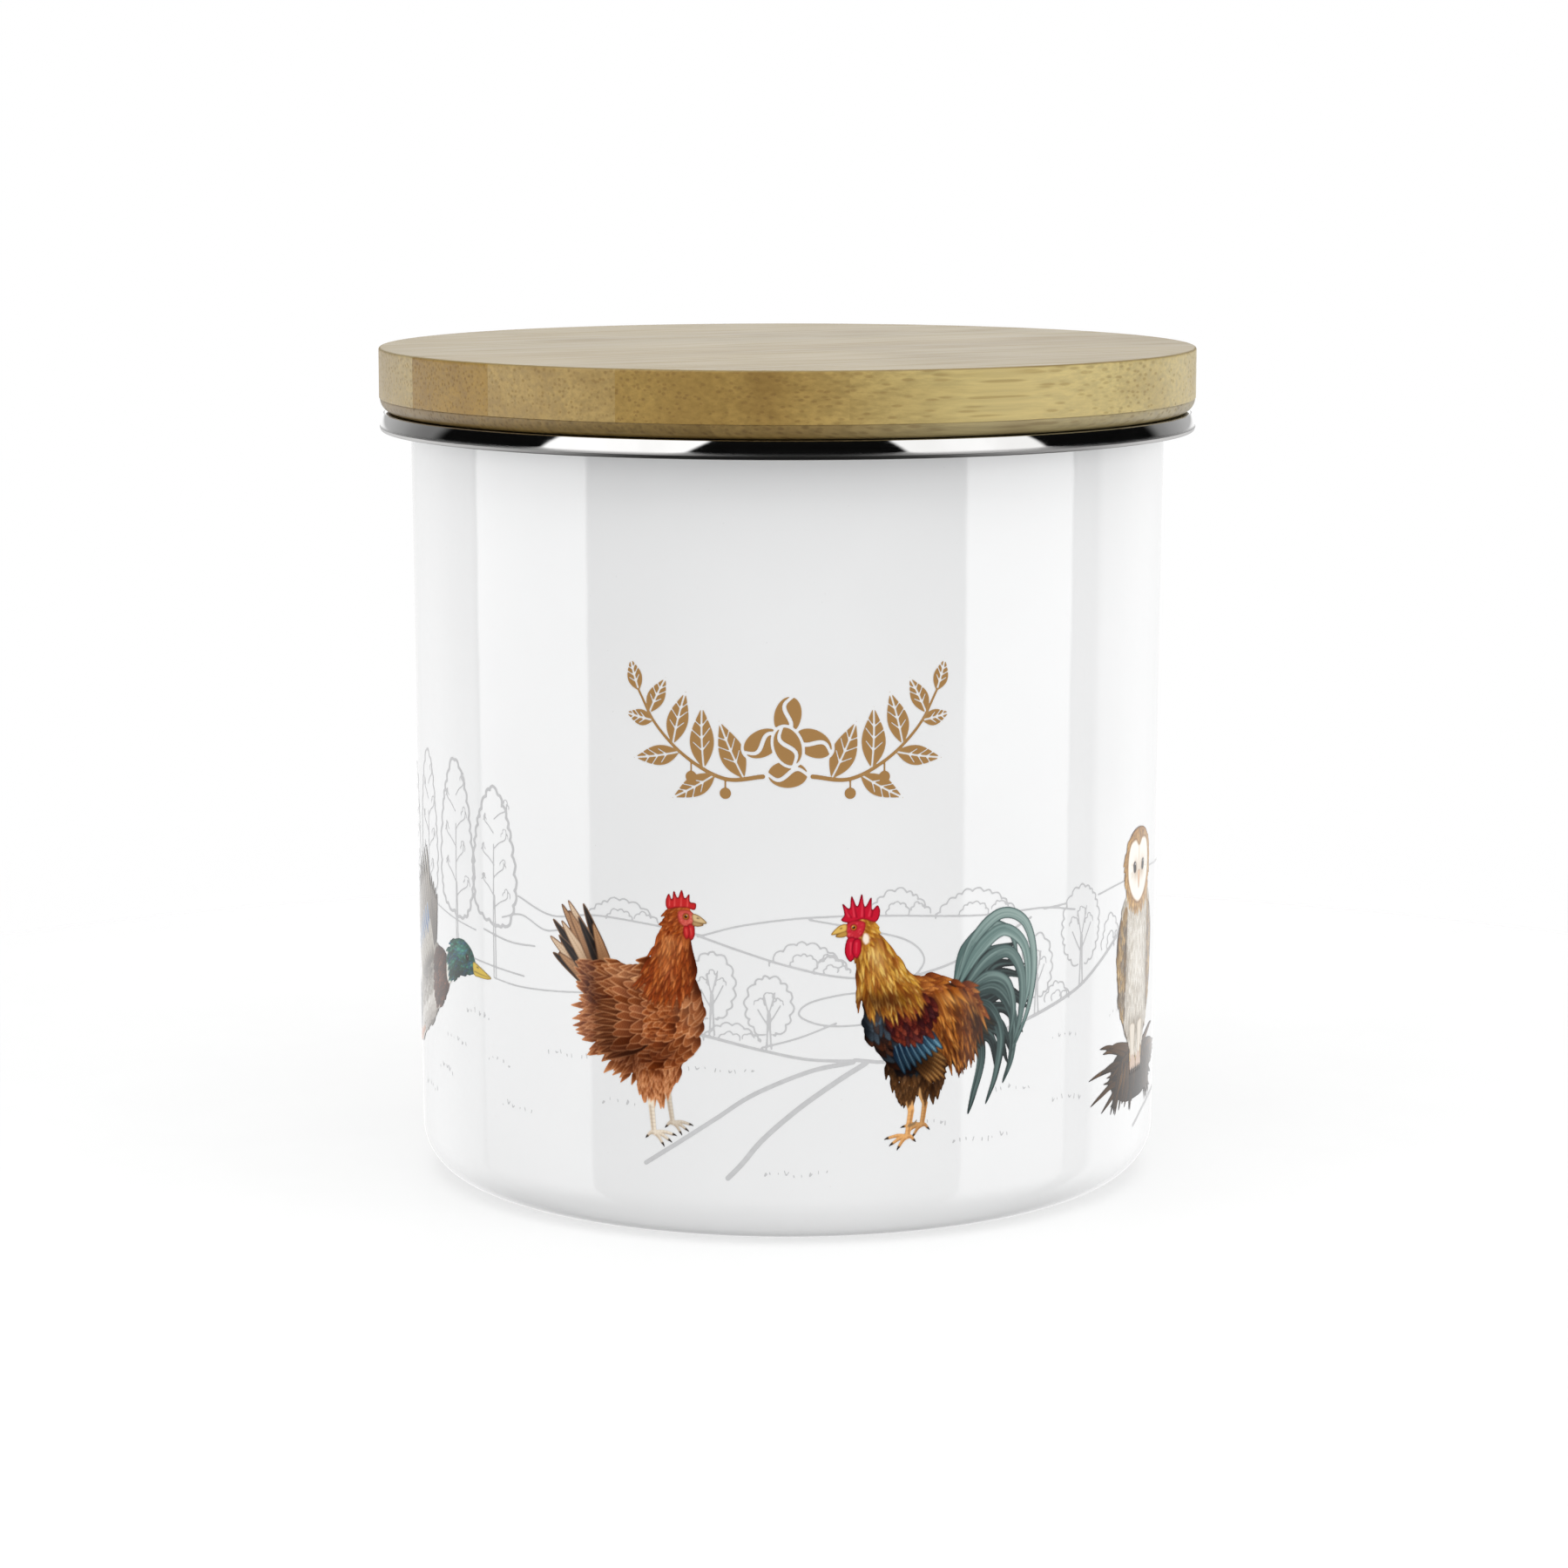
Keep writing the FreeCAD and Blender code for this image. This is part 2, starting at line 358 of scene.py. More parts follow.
def silicone_material():
    m, nt, b = new_material("silicone")
    n = Net(nt)
    p = n.coords()
    cloud = n.noise(p, 60.0, 3.0, 0.5)
    nt.links.new(n.mix(n.ramp(cloud, 0.3, 0.7), (0.74, 0.73, 0.70), (0.82, 0.82, 0.80)), b.inputs["Base Color"])
    nt.links.new(n.ramp(n.noise(p, 1500.0, 2.0, 0.5), 0.3, 0.7, 0.36, 0.5), b.inputs["Roughness"])
    nt.links.new(n.bump(n.noise(p, 2500.0, 2.0, 0.5), 0.00002, 0.5), b.inputs["Normal"])
    b.inputs["Subsurface Weight"].default_value = 0.25
    b.inputs["Subsurface Radius"].default_value = (0.002, 0.002, 0.0018)
    return m


def bamboo_material(name, seed, tone, low, high, lower=False):
    """One bamboo strip. Fibres run along the grain, so they read as dots where the edge cuts across them and as long streaks where it runs with them."""
    m, nt, b = new_material(name)
    n = Net(nt)
    x, y, z = n.split(n.coords())
    c, s = math.cos(GRAIN), math.sin(GRAIN)
    u = n.math("ADD", n.math("MULTIPLY", x, c), n.math("MULTIPLY", y, s))
    v = n.math("ADD", n.math("MULTIPLY", x, -s), n.math("MULTIPLY", y, c))
    off = seed * 0.731
    # fibres wander a little
    slow = n.vec(n.math("MULTIPLY", u, 14.0), n.math("ADD", n.math("MULTIPLY", v, 60.0), off), n.math("MULTIPLY", z, 60.0))
    wander = n.noise(slow, 1.0, 2.0, 0.5)
    w = n.math("MULTIPLY", n.math("SUBTRACT", wander, 0.5), 0.0012)
    v1, z1 = n.math("ADD", v, w), n.math("ADD", z, w)
    # vascular bundles, crowded towards the outside of the culm
    h = n.ramp(z, low * MM, high * MM, 0.0, 1.0, soft=False)
    vor = n.node("ShaderNodeTexVoronoi", voronoi_dimensions="3D", feature="F1")
    n.set(vor.inputs["Vector"], n.vec(n.math("ADD", n.math("MULTIPLY", u, 40.0), off), n.math("MULTIPLY", v1, 1500.0), n.math("MULTIPLY", z1, 1400.0)))
    vor.inputs["Scale"].default_value = 1.0
    vor.inputs["Randomness"].default_value = 0.85
    size = n.math("ADD", 0.27, n.math("MULTIPLY", h, 0.10))
    dot = n.ramp(n.math("DIVIDE", vor.outputs["Distance"], size), 1.25, 0.55)
    some = n.ramp(n.noise(n.vec(n.math("MULTIPLY", u, 8.0), n.math("MULTIPLY", v, 240.0), n.math("MULTIPLY", z, 240.0)), 1.0, 2.0, 0.5), 0.22, 0.55, 0.45, 1.0)
    dot = n.math("MULTIPLY", dot, some)
    # long soft fibre streaks
    streak = n.noise(n.vec(n.math("ADD", n.math("MULTIPLY", u, 9.0), off), n.math("MULTIPLY", v1, 1500.0), n.math("MULTIPLY", z1, 1500.0)), 1.0, 4.0, 0.62)
    broad = n.noise(n.vec(n.math("ADD", n.math("MULTIPLY", u, 5.0), off), n.math("MULTIPLY", v, 170.0), n.math("MULTIPLY", z, 170.0)), 1.0, 3.0, 0.55)
    patch = n.noise(n.vec(n.math("ADD", n.math("MULTIPLY", u, 16.0), off), n.math("MULTIPLY", v, 36.0), n.math("MULTIPLY", z, 36.0)), 1.0, 2.0, 0.5)
    light = tuple(t * 1.22 for t in tone)
    deep = (tone[0] * 0.66, tone[1] * 0.58, tone[2] * 0.45)
    col = n.mix(n.ramp(streak, 0.28, 0.72), tuple(t * 0.86 for t in tone), light)
    col = n.mix(n.ramp(broad, 0.35, 0.70, 0.0, 0.42), col, deep)
    col = n.mix(n.ramp(patch, 0.45, 0.75, 0.0, 0.30), col, tuple(t * 1.30 for t in tone))
    # a culm node: a slightly darker band across the strip, in its own place on each
    place = (math.sin(seed * 12.9898) * 43758.5453 % 1.0 - 0.5) * 0.070
    ripple = n.noise(n.vec(n.math("MULTIPLY", u, 60.0), n.math("MULTIPLY", v, 160.0), off), 1.0, 2.0, 0.5)
    far = n.math("ABSOLUTE", n.math("ADD", n.math("SUBTRACT", u, place), n.math("MULTIPLY", n.math("SUBTRACT", ripple, 0.5), 0.008)))
    knot = n.math("MULTIPLY", n.ramp(far, 0.0055, 0.0005), n.ramp(patch, 0.30, 0.60))
    col = n.mix(n.math("MULTIPLY", knot, 0.42), col, (tone[0] * 0.48, tone[1] * 0.38, tone[2] * 0.28))
    col = n.mix(n.math("MULTIPLY", dot, 0.43), col, (tone[0] * 0.50, tone[1] * 0.40, tone[2] * 0.26))
    # each strip is painted paler and greyer towards +u, less on the top face: painted light and sheen from the right,
    # laid over the culm's own paler end
    top = n.ramp(z, (LID_TOP_Z - 0.30) * MM, (LID_TOP_Z - 0.05) * MM)
    pale = n.math("MULTIPLY", n.ramp(u, -0.033, -0.002), n.math("SUBTRACT", 1.0, n.math("MULTIPLY", top, 0.85)))
    sheen_and_pale_end = (1.45, 1.80, 2.9) if seed % 20 < 4 else (1.10, 1.16, 1.30)
    col = n.mix(pale, col, n.mix(1.0, col, sheen_and_pale_end, blend="MULTIPLY"))
    # the sanded top face is more even than the edge, and its strips are matched; its colour is painted duller and
    # greyer, a painted sheen of the light grazing the top
    cloud = n.noise(n.vec(n.math("MULTIPLY", u, 22.0), n.math("MULTIPLY", v, 48.0), 0.3), 1.0, 2.0, 0.5)
    even = n.mix(n.ramp(cloud, 0.40, 0.72, 0.0, 0.55), (0.286, 0.208, 0.079), (0.212, 0.149, 0.055))
    top_tone_and_sheen = n.mix(0.72, n.mix(1.0, col, (0.63, 0.72, 0.98), blend="MULTIPLY"), even)
    col = n.mix(top, col, top_tone_and_sheen)
    nt.links.new(col, b.inputs["Base Color"])
    rough = n.math("ADD", n.ramp(streak, 0.2, 0.8, 0.36, 0.46), n.math("MULTIPLY", dot, 0.12))
    nt.links.new(rough, b.inputs["Roughness"])
    b.inputs["IOR"].default_value = 1.5
    height = n.math("ADD", n.math("MULTIPLY", streak, 0.5), n.math("MULTIPLY", dot, -0.6))
    nt.links.new(n.bump(height, 0.000022, 0.8), b.inputs["Normal"])
    return m


def print_material(name, attribute=None, colour=None):
    """Ceramic transfer ink under a thin flux glaze."""
    m, nt, b = new_material(name)
    n = Net(nt)
    p = n.coords()
    if attribute:
        a = n.node("ShaderNodeAttribute", attribute_type="GEOMETRY", attribute_name=attribute)
        base = a.outputs["Color"]
    else:
        base = n.mix(n.ramp(n.noise(p, 700.0, 3.0, 0.6), 0.3, 0.7), tuple(t * 0.93 for t in colour), colour)
    nt.links.new(base, b.inputs["Base Color"])
    nt.links.new(n.ramp(n.noise(p, 1200.0, 2.0, 0.5), 0.3, 0.7, 0.10, 0.17), b.inputs["Roughness"])
    b.inputs["IOR"].default_value = 1.5
    b.inputs["Specular IOR Level"].default_value = 0.18
    nt.links.new(n.bump(n.noise(p, 1800.0, 2.0, 0.5), 0.000004, 0.5), b.inputs["Normal"])
    return m


# ---------------------------------------------------------------- the painter
# A small brush engine on numpy arrays. Canvases are in millimetres, x to the right and y up.
# Colours are given as 0-255 display values and stored as 0-1 display values.
PPM = 14.0  # canvas samples per millimetre


def smooth(a, b, x):
    t = np.clip((x - a) / (b - a), 0.0, 1.0)
    return t * t * (3 - 2 * t)


def rgb(c):
    return np.array(c, float) / 255.0


def mix(a, b, t):
    return np.asarray(a, float) * (1 - t) + np.asarray(b, float) * t


def spline(points, n=10, closed=False):
    """Catmull-Rom through points."""
    p = np.array(points, float)
    out = []
    m = len(p)
    spans = m if closed else m - 1
    for i in range(spans):
        p1, p2 = p[i % m], p[(i + 1) % m]
        p0 = p[(i - 1) % m] if closed or i > 0 else 2 * p1 - p2
        p3 = p[(i + 2) % m] if closed or i + 2 < m else 2 * p2 - p1
        for t in np.arange(n) / n:
            out.append(
                0.5
                * (
                    2 * p1
                    + (p2 - p0) * t
                    + (2 * p0 - 5 * p1 + 4 * p2 - p3) * t * t
                    + (3 * p1 - p0 - 3 * p2 + p3) * t**3
                )
            )
    if not closed:
        out.append(p[-1])
    return np.array(out)


class Canvas:
    def __init__(self, x0, y0, x1, y1, seed, ppm=PPM):
        self.ppm = ppm
        self.x0, self.y0, self.x1, self.y1 = x0, y0, x1, y1
        self.w = int(round((x1 - x0) * self.ppm)) + 1
        self.h = int(round((y1 - y0) * self.ppm)) + 1
        self.c = np.ones((self.h, self.w, 3))
        self.a = np.zeros((self.h, self.w))
        self.rng = np.random.default_rng(seed)
        self.clip = None

    def window(self, lox, loy, hix, hiy):
        i0 = max(0, int((lox - self.x0) * self.ppm) - 1)
        i1 = min(self.w, int((hix - self.x0) * self.ppm) + 3)
        j0 = max(0, int((loy - self.y0) * self.ppm) - 1)
        j1 = min(self.h, int((hiy - self.y0) * self.ppm) + 3)
        if i1 <= i0 or j1 <= j0:
            return None
        X = self.x0 + np.arange(i0, i1)[None, :] / self.ppm
        Y = self.y0 + np.arange(j0, j1)[:, None] / self.ppm
        return slice(j0, j1), slice(i0, i1), X, Y

    def put(self, js, iz, cover, colour, hold=False):
        """Lays colour over the canvas by cover. hold keeps the silhouette as it is."""
        if self.clip is not None:
            cover = cover * self.clip[js, iz]
        if hold:
            cover = cover * np.minimum(1, self.a[js, iz] * 1.0)
        a0 = self.a[js, iz]
        an = cover + a0 * (1 - cover)
        k = np.where(an > 1e-6, cover / np.maximum(an, 1e-6), 0)[..., None]
        self.c[js, iz] = self.c[js, iz] * (1 - k) + colour * k
        self.a[js, iz] = an

    # -------- shapes
    def sdf(self, pts, X, Y):
        """Signed distance to a closed polygon, negative inside."""
        p = np.asarray(pts, float)
        q = np.roll(p, -1, 0)
        X, Y = np.broadcast_arrays(X, Y)
        best = np.full(X.shape, 1e9)
        inside = np.zeros(X.shape, bool)
        for (ax, ay), (bx, by) in zip(p, q):
            dx, dy = bx - ax, by - ay
            n = dx * dx + dy * dy
            if n < 1e-12:
                continue
            t = np.clip(((X - ax) * dx + (Y - ay) * dy) / n, 0, 1)
            d = (X - ax - t * dx) ** 2 + (Y - ay - t * dy) ** 2
            np.minimum(best, d, out=best)
            if (ay > Y.min() or by > Y.min()) and ay != by:
                inside ^= ((ay > Y) != (by > Y)) & (X < (bx - ax) * (Y - ay) / (by - ay) + ax)
        best = np.sqrt(best)
        return np.where(inside, -best, best)

    def mask(self, pts, soft=0.15):
        m = np.zeros((self.h, self.w))
        p = np.asarray(pts, float)
        win = self.window(p[:, 0].min() - soft, p[:, 1].min() - soft, p[:, 0].max() + soft, p[:, 1].max() + soft)
        js, iz, X, Y = win
        m[js, iz] = smooth(soft, -soft, self.sdf(p, X, Y))
        return m

    def fill(self, pts, colour, soft=0.06, alpha=1.0, edge=None, edge_w=0.25, shade=None, hold=False):
        p = np.asarray(pts, float)
        win = self.window(p[:, 0].min() - 0.5, p[:, 1].min() - 0.5, p[:, 0].max() + 0.5, p[:, 1].max() + 0.5)
        if win is None:
            return
        js, iz, X, Y = win
        d = self.sdf(p, X, Y)
        cov = smooth(soft, -soft, d) * alpha
        col = np.broadcast_to(rgb(colour), d.shape + (3,)).copy()
        if edge is not None:
            e = smooth(-edge_w, 0, d)[..., None]
            col = col * (1 - e) + rgb(edge) * e
        if shade is not None:
            (sx, sy), c2, lo, hi = shade
            XX, YY = np.broadcast_arrays(X, Y)
            t = smooth(lo, hi, XX * sx + YY * sy)[..., None]
            col = col * (1 - t) + rgb(c2) * t
        self.put(js, iz, cov, col, hold)

    def stroke(self, pts, w0, w1, colour, alpha=1.0, wm=None, soft=0.05, hold=False, tip=None, erase=False):
        """A tapered line: w0, wm and w1 are half-widths at its start, middle and end."""
        p = np.asarray(pts, float)
        n = len(p)
        t = np.linspace(0, 1, n)
        if wm is None:
            r = w0 + (w1 - w0) * t
        else:
            r = np.where(t < 0.5, w0 + (wm - w0) * np.sin(t * np.pi), w1 + (wm - w1) * np.sin(t * np.pi))
        m = r.max() + soft + 0.1
        win = self.window(p[:, 0].min() - m, p[:, 1].min() - m, p[:, 0].max() + m, p[:, 1].max() + m)
        if win is None:
            return
        js, iz, X, Y = win
        X, Y = np.broadcast_arrays(X, Y)
        best = np.full(X.shape, 1e9)
        where = np.zeros(X.shape)
        for i in range(n - 1):
            ax, ay = p[i]
            dx, dy = p[i + 1] - p[i]
            nn = dx * dx + dy * dy
            if nn < 1e-12:
                continue
            s = np.clip(((X - ax) * dx + (Y - ay) * dy) / nn, 0, 1)
            d = np.hypot(X - ax - s * dx, Y - ay - s * dy) - (r[i] + (r[i + 1] - r[i]) * s)
            near = d < best
            best = np.where(near, d, best)
            where = np.where(near, (i + s) / (n - 1), where)
        cov = smooth(soft, -soft, best) * alpha
        if erase:
            self.a[js, iz] *= 1 - cov
            return
        col = rgb(colour)
        if tip is not None:
            col = col + (rgb(tip) - col) * where[..., None]
        self.put(js, iz, cov, col, hold)

    def feather(self, x, y, ang, length, width, root, tip, edge=None, edge_w=0.22, shaft=None, bend=0.0, point=0.5, barbs=0.25, alpha=1.0, bar=None, hold=False, ragged=0.0):
        """One vane. ang is in radians, point is 0 for a round tip and 1 for a long sharp one."""
        m = max(length, width) * 1.15 + abs(bend) * length
        win = self.window(x - m, y - m, x + m, y + m)
        if win is None:
            return
        js, iz, X, Y = win
        ca, sa = math.cos(ang), math.sin(ang)
        u = ((X - x) * ca + (Y - y) * sa) / length
        v = (-(X - x) * sa + (Y - y) * ca) - bend * length * u * u
        uc = np.clip(u, 0, 1)
        half = width * 0.5 * np.power(np.clip(uc * 2.6, 0, 1), 0.6) * np.power(np.clip(1 - uc, 0, 1), 0.30 + 0.75 * point) * (1.0 + 0.35 * point)
        s = v / np.maximum(half, 1e-4)
        if ragged:
            half = half * (1 + ragged * np.sin(u * length * 9.0 + s * 3 + x * 7))
        d = np.abs(v) - half
        px = 0.7 / self.ppm
        cov = smooth(px, -px, d) * (u > -0.02) * (u < 1.02) * alpha
        root, tip = rgb(root), rgb(tip)
        col = root + (tip - root) * smooth(0.05, 0.95, u)[..., None]
        if barbs:
            lines = 0.5 + 0.5 * np.sin((u * length - np.abs(v) * 0.9) * 2 * np.pi / 0.42 + x * 5 + y * 3)
            col = col * (1 - barbs * 0.35 * lines[..., None])
        if bar is not None:
            bc, period = bar
            k = smooth(0.25, 0.6, np.sin(u * length * 2 * np.pi / period + 0.7))[..., None]
            col = col * (1 - k) + rgb(bc) * k
        if edge is not None:
            e = smooth(edge_w, 0.0, -d)[..., None] * smooth(0.15, 0.6, u)[..., None]
            col = col * (1 - e) + rgb(edge) * e
        if shaft is not None:
            e = smooth(0.11, 0.03, np.abs(v))[..., None] * smooth(0.97, 0.8, u)[..., None] * 0.8
            col = col * (1 - e) + rgb(shaft) * e
        self.put(js, iz, cov, col, hold)

    # -------- tone
    def tint(self, mask, colour, amount):
        """Multiplies towards colour by amount inside mask."""
        k = (mask * amount)[..., None]
        self.c = self.c * (1 - k + k * rgb(colour))

    def lift(self, mask, colour, amount):
        k = (mask * amount)[..., None]
        self.c = self.c * (1 - k) + rgb(colour) * k

    def grid(self):
        X = self.x0 + np.arange(self.w)[None, :] / self.ppm
        Y = self.y0 + np.arange(self.h)[:, None] / self.ppm
        return np.broadcast_arrays(X, Y)

    def blob(self, x, y, rx, ry, rot=0.0):
        X, Y = self.grid()
        ca, sa = math.cos(rot), math.sin(rot)
        u = ((X - x) * ca + (Y - y) * sa) / rx
        v = (-(X - x) * sa + (Y - y) * ca) / ry
        return np.exp(-(u * u + v * v))


def flow(controls):
    """A direction field through (x, y, angle in degrees) controls."""
    k = np.array(controls, float)
    ca, sa = np.cos(np.radians(k[:, 2])), np.sin(np.radians(k[:, 2]))

    def at(x, y):
        w = 1.0 / ((k[:, 0] - x) ** 2 + (k[:, 1] - y) ** 2 + 0.4) ** 1.5
        return math.atan2((w * sa).sum(), (w * ca).sum())

    return at


def inside(pts, x, y):
    p = np.asarray(pts)
    q = np.roll(p, -1, 0)
    c = ((p[:, 1] > y) != (q[:, 1] > y)) & (x < (q[:, 0] - p[:, 0]) * (y - p[:, 1]) / (q[:, 1] - p[:, 1] + 1e-12) + p[:, 0])
    return bool(c.sum() % 2)


def coat(cv, region, field, step, length, width, colours, order, jitter=0.35, grow=None, **kw):
    """Covers a region with overlapping feathers, farthest along the order point first."""
    p = np.asarray(region)
    spots = []
    rng = cv.rng
    y = p[:, 1].min()
    row = 0
    while y < p[:, 1].max():
        x = p[:, 0].min() + (step * 0.5 if row % 2 else 0)
        while x < p[:, 0].max():
            jx, jy = x + rng.uniform(-jitter, jitter) * step, y + rng.uniform(-jitter, jitter) * step
            if inside(p, jx, jy):
                spots.append((jx, jy))
            x += step
        y += step * 0.62
        row += 1
    spots.sort(key=lambda s: -((s[0] - order[0]) ** 2 + (s[1] - order[1]) ** 2))
    for x, y in spots:
        a = field(x, y) + rng.normal(0, 0.10)
        g = 1.0 if grow is None else grow(x, y)
        k = rng.integers(len(colours))
        root, tip = colours[k][:2]
        edge = colours[k][2] if len(colours[k]) > 2 else kw.get("edge")
        b = rng.normal(0, 7)
        args = {i: j for i, j in kw.items() if i != "edge"}
        cv.feather(x, y, a, length * g * rng.uniform(0.85, 1.15), width * g * rng.uniform(0.85, 1.15),
                   np.clip(np.array(root) + b, 0, 255), np.clip(np.array(tip) + b, 0, 255), edge=edge,
                   bend=rng.normal(0, 0.04), **args)


def shank(cv, hip, knee, foot, dirn, skin, dark, w=0.55, toe=2.6, back=True, nails=(70, 60, 55)):
    """A bird's leg: shank, toes and claws. dirn is +1 when it faces right."""
    hip, knee, foot = map(np.array, (hip, knee, foot))
    cv.stroke([hip, knee], w * 1.35, w * 0.9, skin, tip=skin)
    cv.stroke([knee, foot], w * 0.85, w * 0.70, skin, tip=skin)
    cv.stroke([knee + [w * 0.35 * dirn * -1, 0], foot + [w * 0.3 * dirn * -1, 0.2]], w * 0.25, w * 0.2, dark, alpha=0.55, hold=True)
    n = 7
    for i in range(n):
        p = knee + (foot - knee) * (i + 0.5) / n
        cv.stroke([p - [w * 0.6, -0.05], p + [w * 0.6, 0.05]], 0.035, 0.035, dark, alpha=0.6, hold=True)
    for k, (dx, dy) in enumerate(((1.0, -0.02), (0.86, -0.34), (0.55, -0.62), (-0.55, -0.30))):
        if k == 3 and not back:
            continue
        ln = toe * (0.62 if k == 3 else 1.0 - 0.10 * k)
        tip = foot + np.array([dx * dirn, dy]) * ln
        mid = foot + np.array([dx * dirn, dy]) * ln * 0.5 + [0, 0.26]
        pts = spline([foot, mid, tip], 6)
        cv.stroke(pts, w * 0.62, w * 0.36, skin)
        cv.stroke(pts - [0, 0.16], w * 0.18, w * 0.10, dark, alpha=0.6, hold=True)
        for q in pts[2:-1:2]:
            cv.stroke([q + [0, 0.22], q - [0, 0.22]], 0.03, 0.03, dark, alpha=0.5, hold=True)
        claw = np.array([dx * dirn, dy - 0.25])
        cv.stroke([tip, tip + claw * 0.32, tip + claw * 0.62 - [0, 0.10]], w * 0.30, 0.04, nails)


def hen(seed=11, pal="brown"):
    """A plump hen facing right, feet at y = 0."""
    cv = Canvas(-19.0, -3.5, 12.0, 39.5, seed)
    if pal == "brown":
        body = [((118, 52, 22), (176, 92, 44), (214, 152, 104)), ((104, 44, 20), (158, 76, 34), (196, 124, 76)), ((132, 62, 28), (190, 108, 58), (226, 172, 128))]
        back = [((104, 46, 22), (158, 82, 42), (206, 146, 100)), ((122, 58, 28), (180, 104, 58), (222, 170, 124))]
        neck = [((150, 62, 22), (198, 98, 42)), ((128, 50, 20), (178, 80, 34)), ((170, 78, 30), (218, 128, 66))]
        neck_edge = (92, 38, 18)
        wing = ((112, 50, 24), (168, 92, 50), (216, 160, 116))
        flight = ((84, 40, 22), (146, 80, 44), (206, 152, 108))
        tails = [((58, 42, 36), (30, 22, 20), (170, 130, 98)), ((150, 104, 70), (196, 150, 110), (90, 58, 38)), ((206, 170, 132), (232, 206, 176), (120, 78, 50))]
        fluff = [((150, 78, 38), (206, 132, 82), (224, 168, 124)), ((128, 62, 30), (186, 108, 62), (214, 152, 108))]
        leg, leg_dark = (226, 214, 196), (150, 128, 108)
        dark = (70, 28, 14)
    else:
        body = [((60, 62, 66), (34, 36, 40), (222, 222, 218)), ((74, 76, 80), (48, 50, 54), (232, 232, 228)), ((52, 54, 58), (30, 32, 36), (206, 206, 202))]
        back = [((58, 60, 64), (36, 38, 42), (216, 216, 212)), ((80, 82, 86), (50, 52, 56), (232, 232, 228))]
        neck = [((96, 98, 102), (58, 60, 64)), ((210, 210, 206), (150, 152, 154)), ((232, 232, 228), (190, 190, 188))]
        neck_edge = (44, 46, 50)
        wing = ((70, 72, 76), (42, 44, 48), (226, 226, 222))
        flight = ((60, 62, 66), (38, 40, 44), (220, 220, 216))
        tails = [((48, 50, 54), (26, 28, 32), (190, 190, 188)), ((90, 92, 96), (52, 54, 58), (216, 216, 212)), ((66, 68, 72), (40, 42, 46), (226, 226, 222))]
        fluff = [((120, 122, 124), (70, 72, 76), (222, 222, 218)), ((150, 152, 152), (96, 98, 100), (230, 230, 226))]
        leg, leg_dark = (214, 176, 92), (140, 104, 48)
        dark = (30, 30, 34)

    # far leg
    shank(cv, (3.6, 9.6), (4.3, 6.4), (4.9, 2.6), 1, np.array(leg) * 0.9, leg_dark, w=0.50, toe=2.7)
    # tail, far side first
    base = np.array([-6.6, 23.4])
    for i, (a, ln) in enumerate(((152, 9.6), (143, 11.2), (134, 12.4), (126, 13.2), (118, 13.2), (110, 12.0), (147, 8.6), (138, 10.0), (129, 11.2), (121, 11.8), (113, 10.4), (106, 8.8))):
        r = math.radians(a + cv.rng.normal(0, 1.5))
        t = tails[(0, 2, 0, 1, 2, 0, 1, 0, 2, 1, 0, 1)[i]]
        p = base + np.array([math.cos(r + 1.57), math.sin(r + 1.57)]) * ((i % 6) - 2.5) * -0.55
        cv.feather(p[0], p[1], r, ln, 2.5, t[0], t[1], edge=t[2], edge_w=0.28, shaft=mix(t[1], t[2], 0.5), bend=0.05 * (1 if a < 125 else -0.4), point=0.30, barbs=0.5)
    # the body under the feathers
    trunk = spline([(3.2, 28.5), (6.9, 27.2), (9.3, 23.0), (9.6, 18.2), (7.6, 13.2), (3.8, 10.2), (0.2, 9.6), (-3.6, 12.2), (-7.6, 16.4), (-9.4, 20.8), (-8.4, 25.2), (-4.6, 26.0), (-0.6, 25.6)], 8, True)
    cv.fill(trunk, body[1][0])
    field = flow([(7, 26, 235), (9, 21, 248), (8, 15, 225), (4, 11, 205), (0, 10.5, 195), (-4, 14, 170), (-8, 19, 150), (-7, 24, 152), (-2, 25, 178), (3, 27, 205), (2, 18, 195)])
    # thighs and the soft vent
    vent = spline([(-9.4, 20.0), (-8.8, 15.6), (-5.4, 12.0), (-1.8, 10.2), (0.2, 12.8), (-2.6, 17.2), (-6.0, 20.6)], 6, True)
    coat(cv, vent, flow([(-8, 18, 190), (-4, 13, 215), (-1, 11, 225)]), 1.15, 3.2, 1.3, fluff, (6, 24), point=0.8, barbs=0.5, edge_w=0.16)
    thigh = spline([(-0.6, 14.8), (3.0, 15.4), (6.4, 13.8), (6.0, 10.4), (3.8, 7.8), (1.4, 7.2), (-0.8, 9.6)], 6, True)
    cv.fill(thigh, fluff[1][0])
    coat(cv, thigh, flow([(0, 13, 255), (4, 12, 265), (2.4, 8, 275), (6, 13, 250)]), 1.0, 2.9, 1.15, fluff, (3, 22), point=0.85, barbs=0.5, edge_w=0.15)
    # saddle and back
    saddle = spline([(-9.0, 21.6), (-8.8, 25.6), (-5.2, 26.6), (-1.0, 26.2), (2.6, 27.4), (1.0, 23.4), (-3.6, 20.6), (-7.0, 19.6)], 6, True)
    coat(cv, saddle, flow([(-8, 23, 158), (-3, 25, 172), (1, 26, 190), (-5, 21, 178)]), 1.35, 3.3, 1.7, back, (6, 27), point=0.55, barbs=0.6, edge_w=0.22, shaft=None)
    # breast and belly
    breast = spline([(4.6, 27.6), (8.0, 25.6), (9.8, 21.6), (9.7, 17.2), (7.4, 12.8), (3.6, 11.4), (0.6, 12.6), (0.6, 16.6), (3.2, 21.0)], 6, True)
    coat(cv, breast, field, 1.30, 2.7, 1.8, body, (6.5, 31), point=0.15, barbs=0.55, edge_w=0.20)
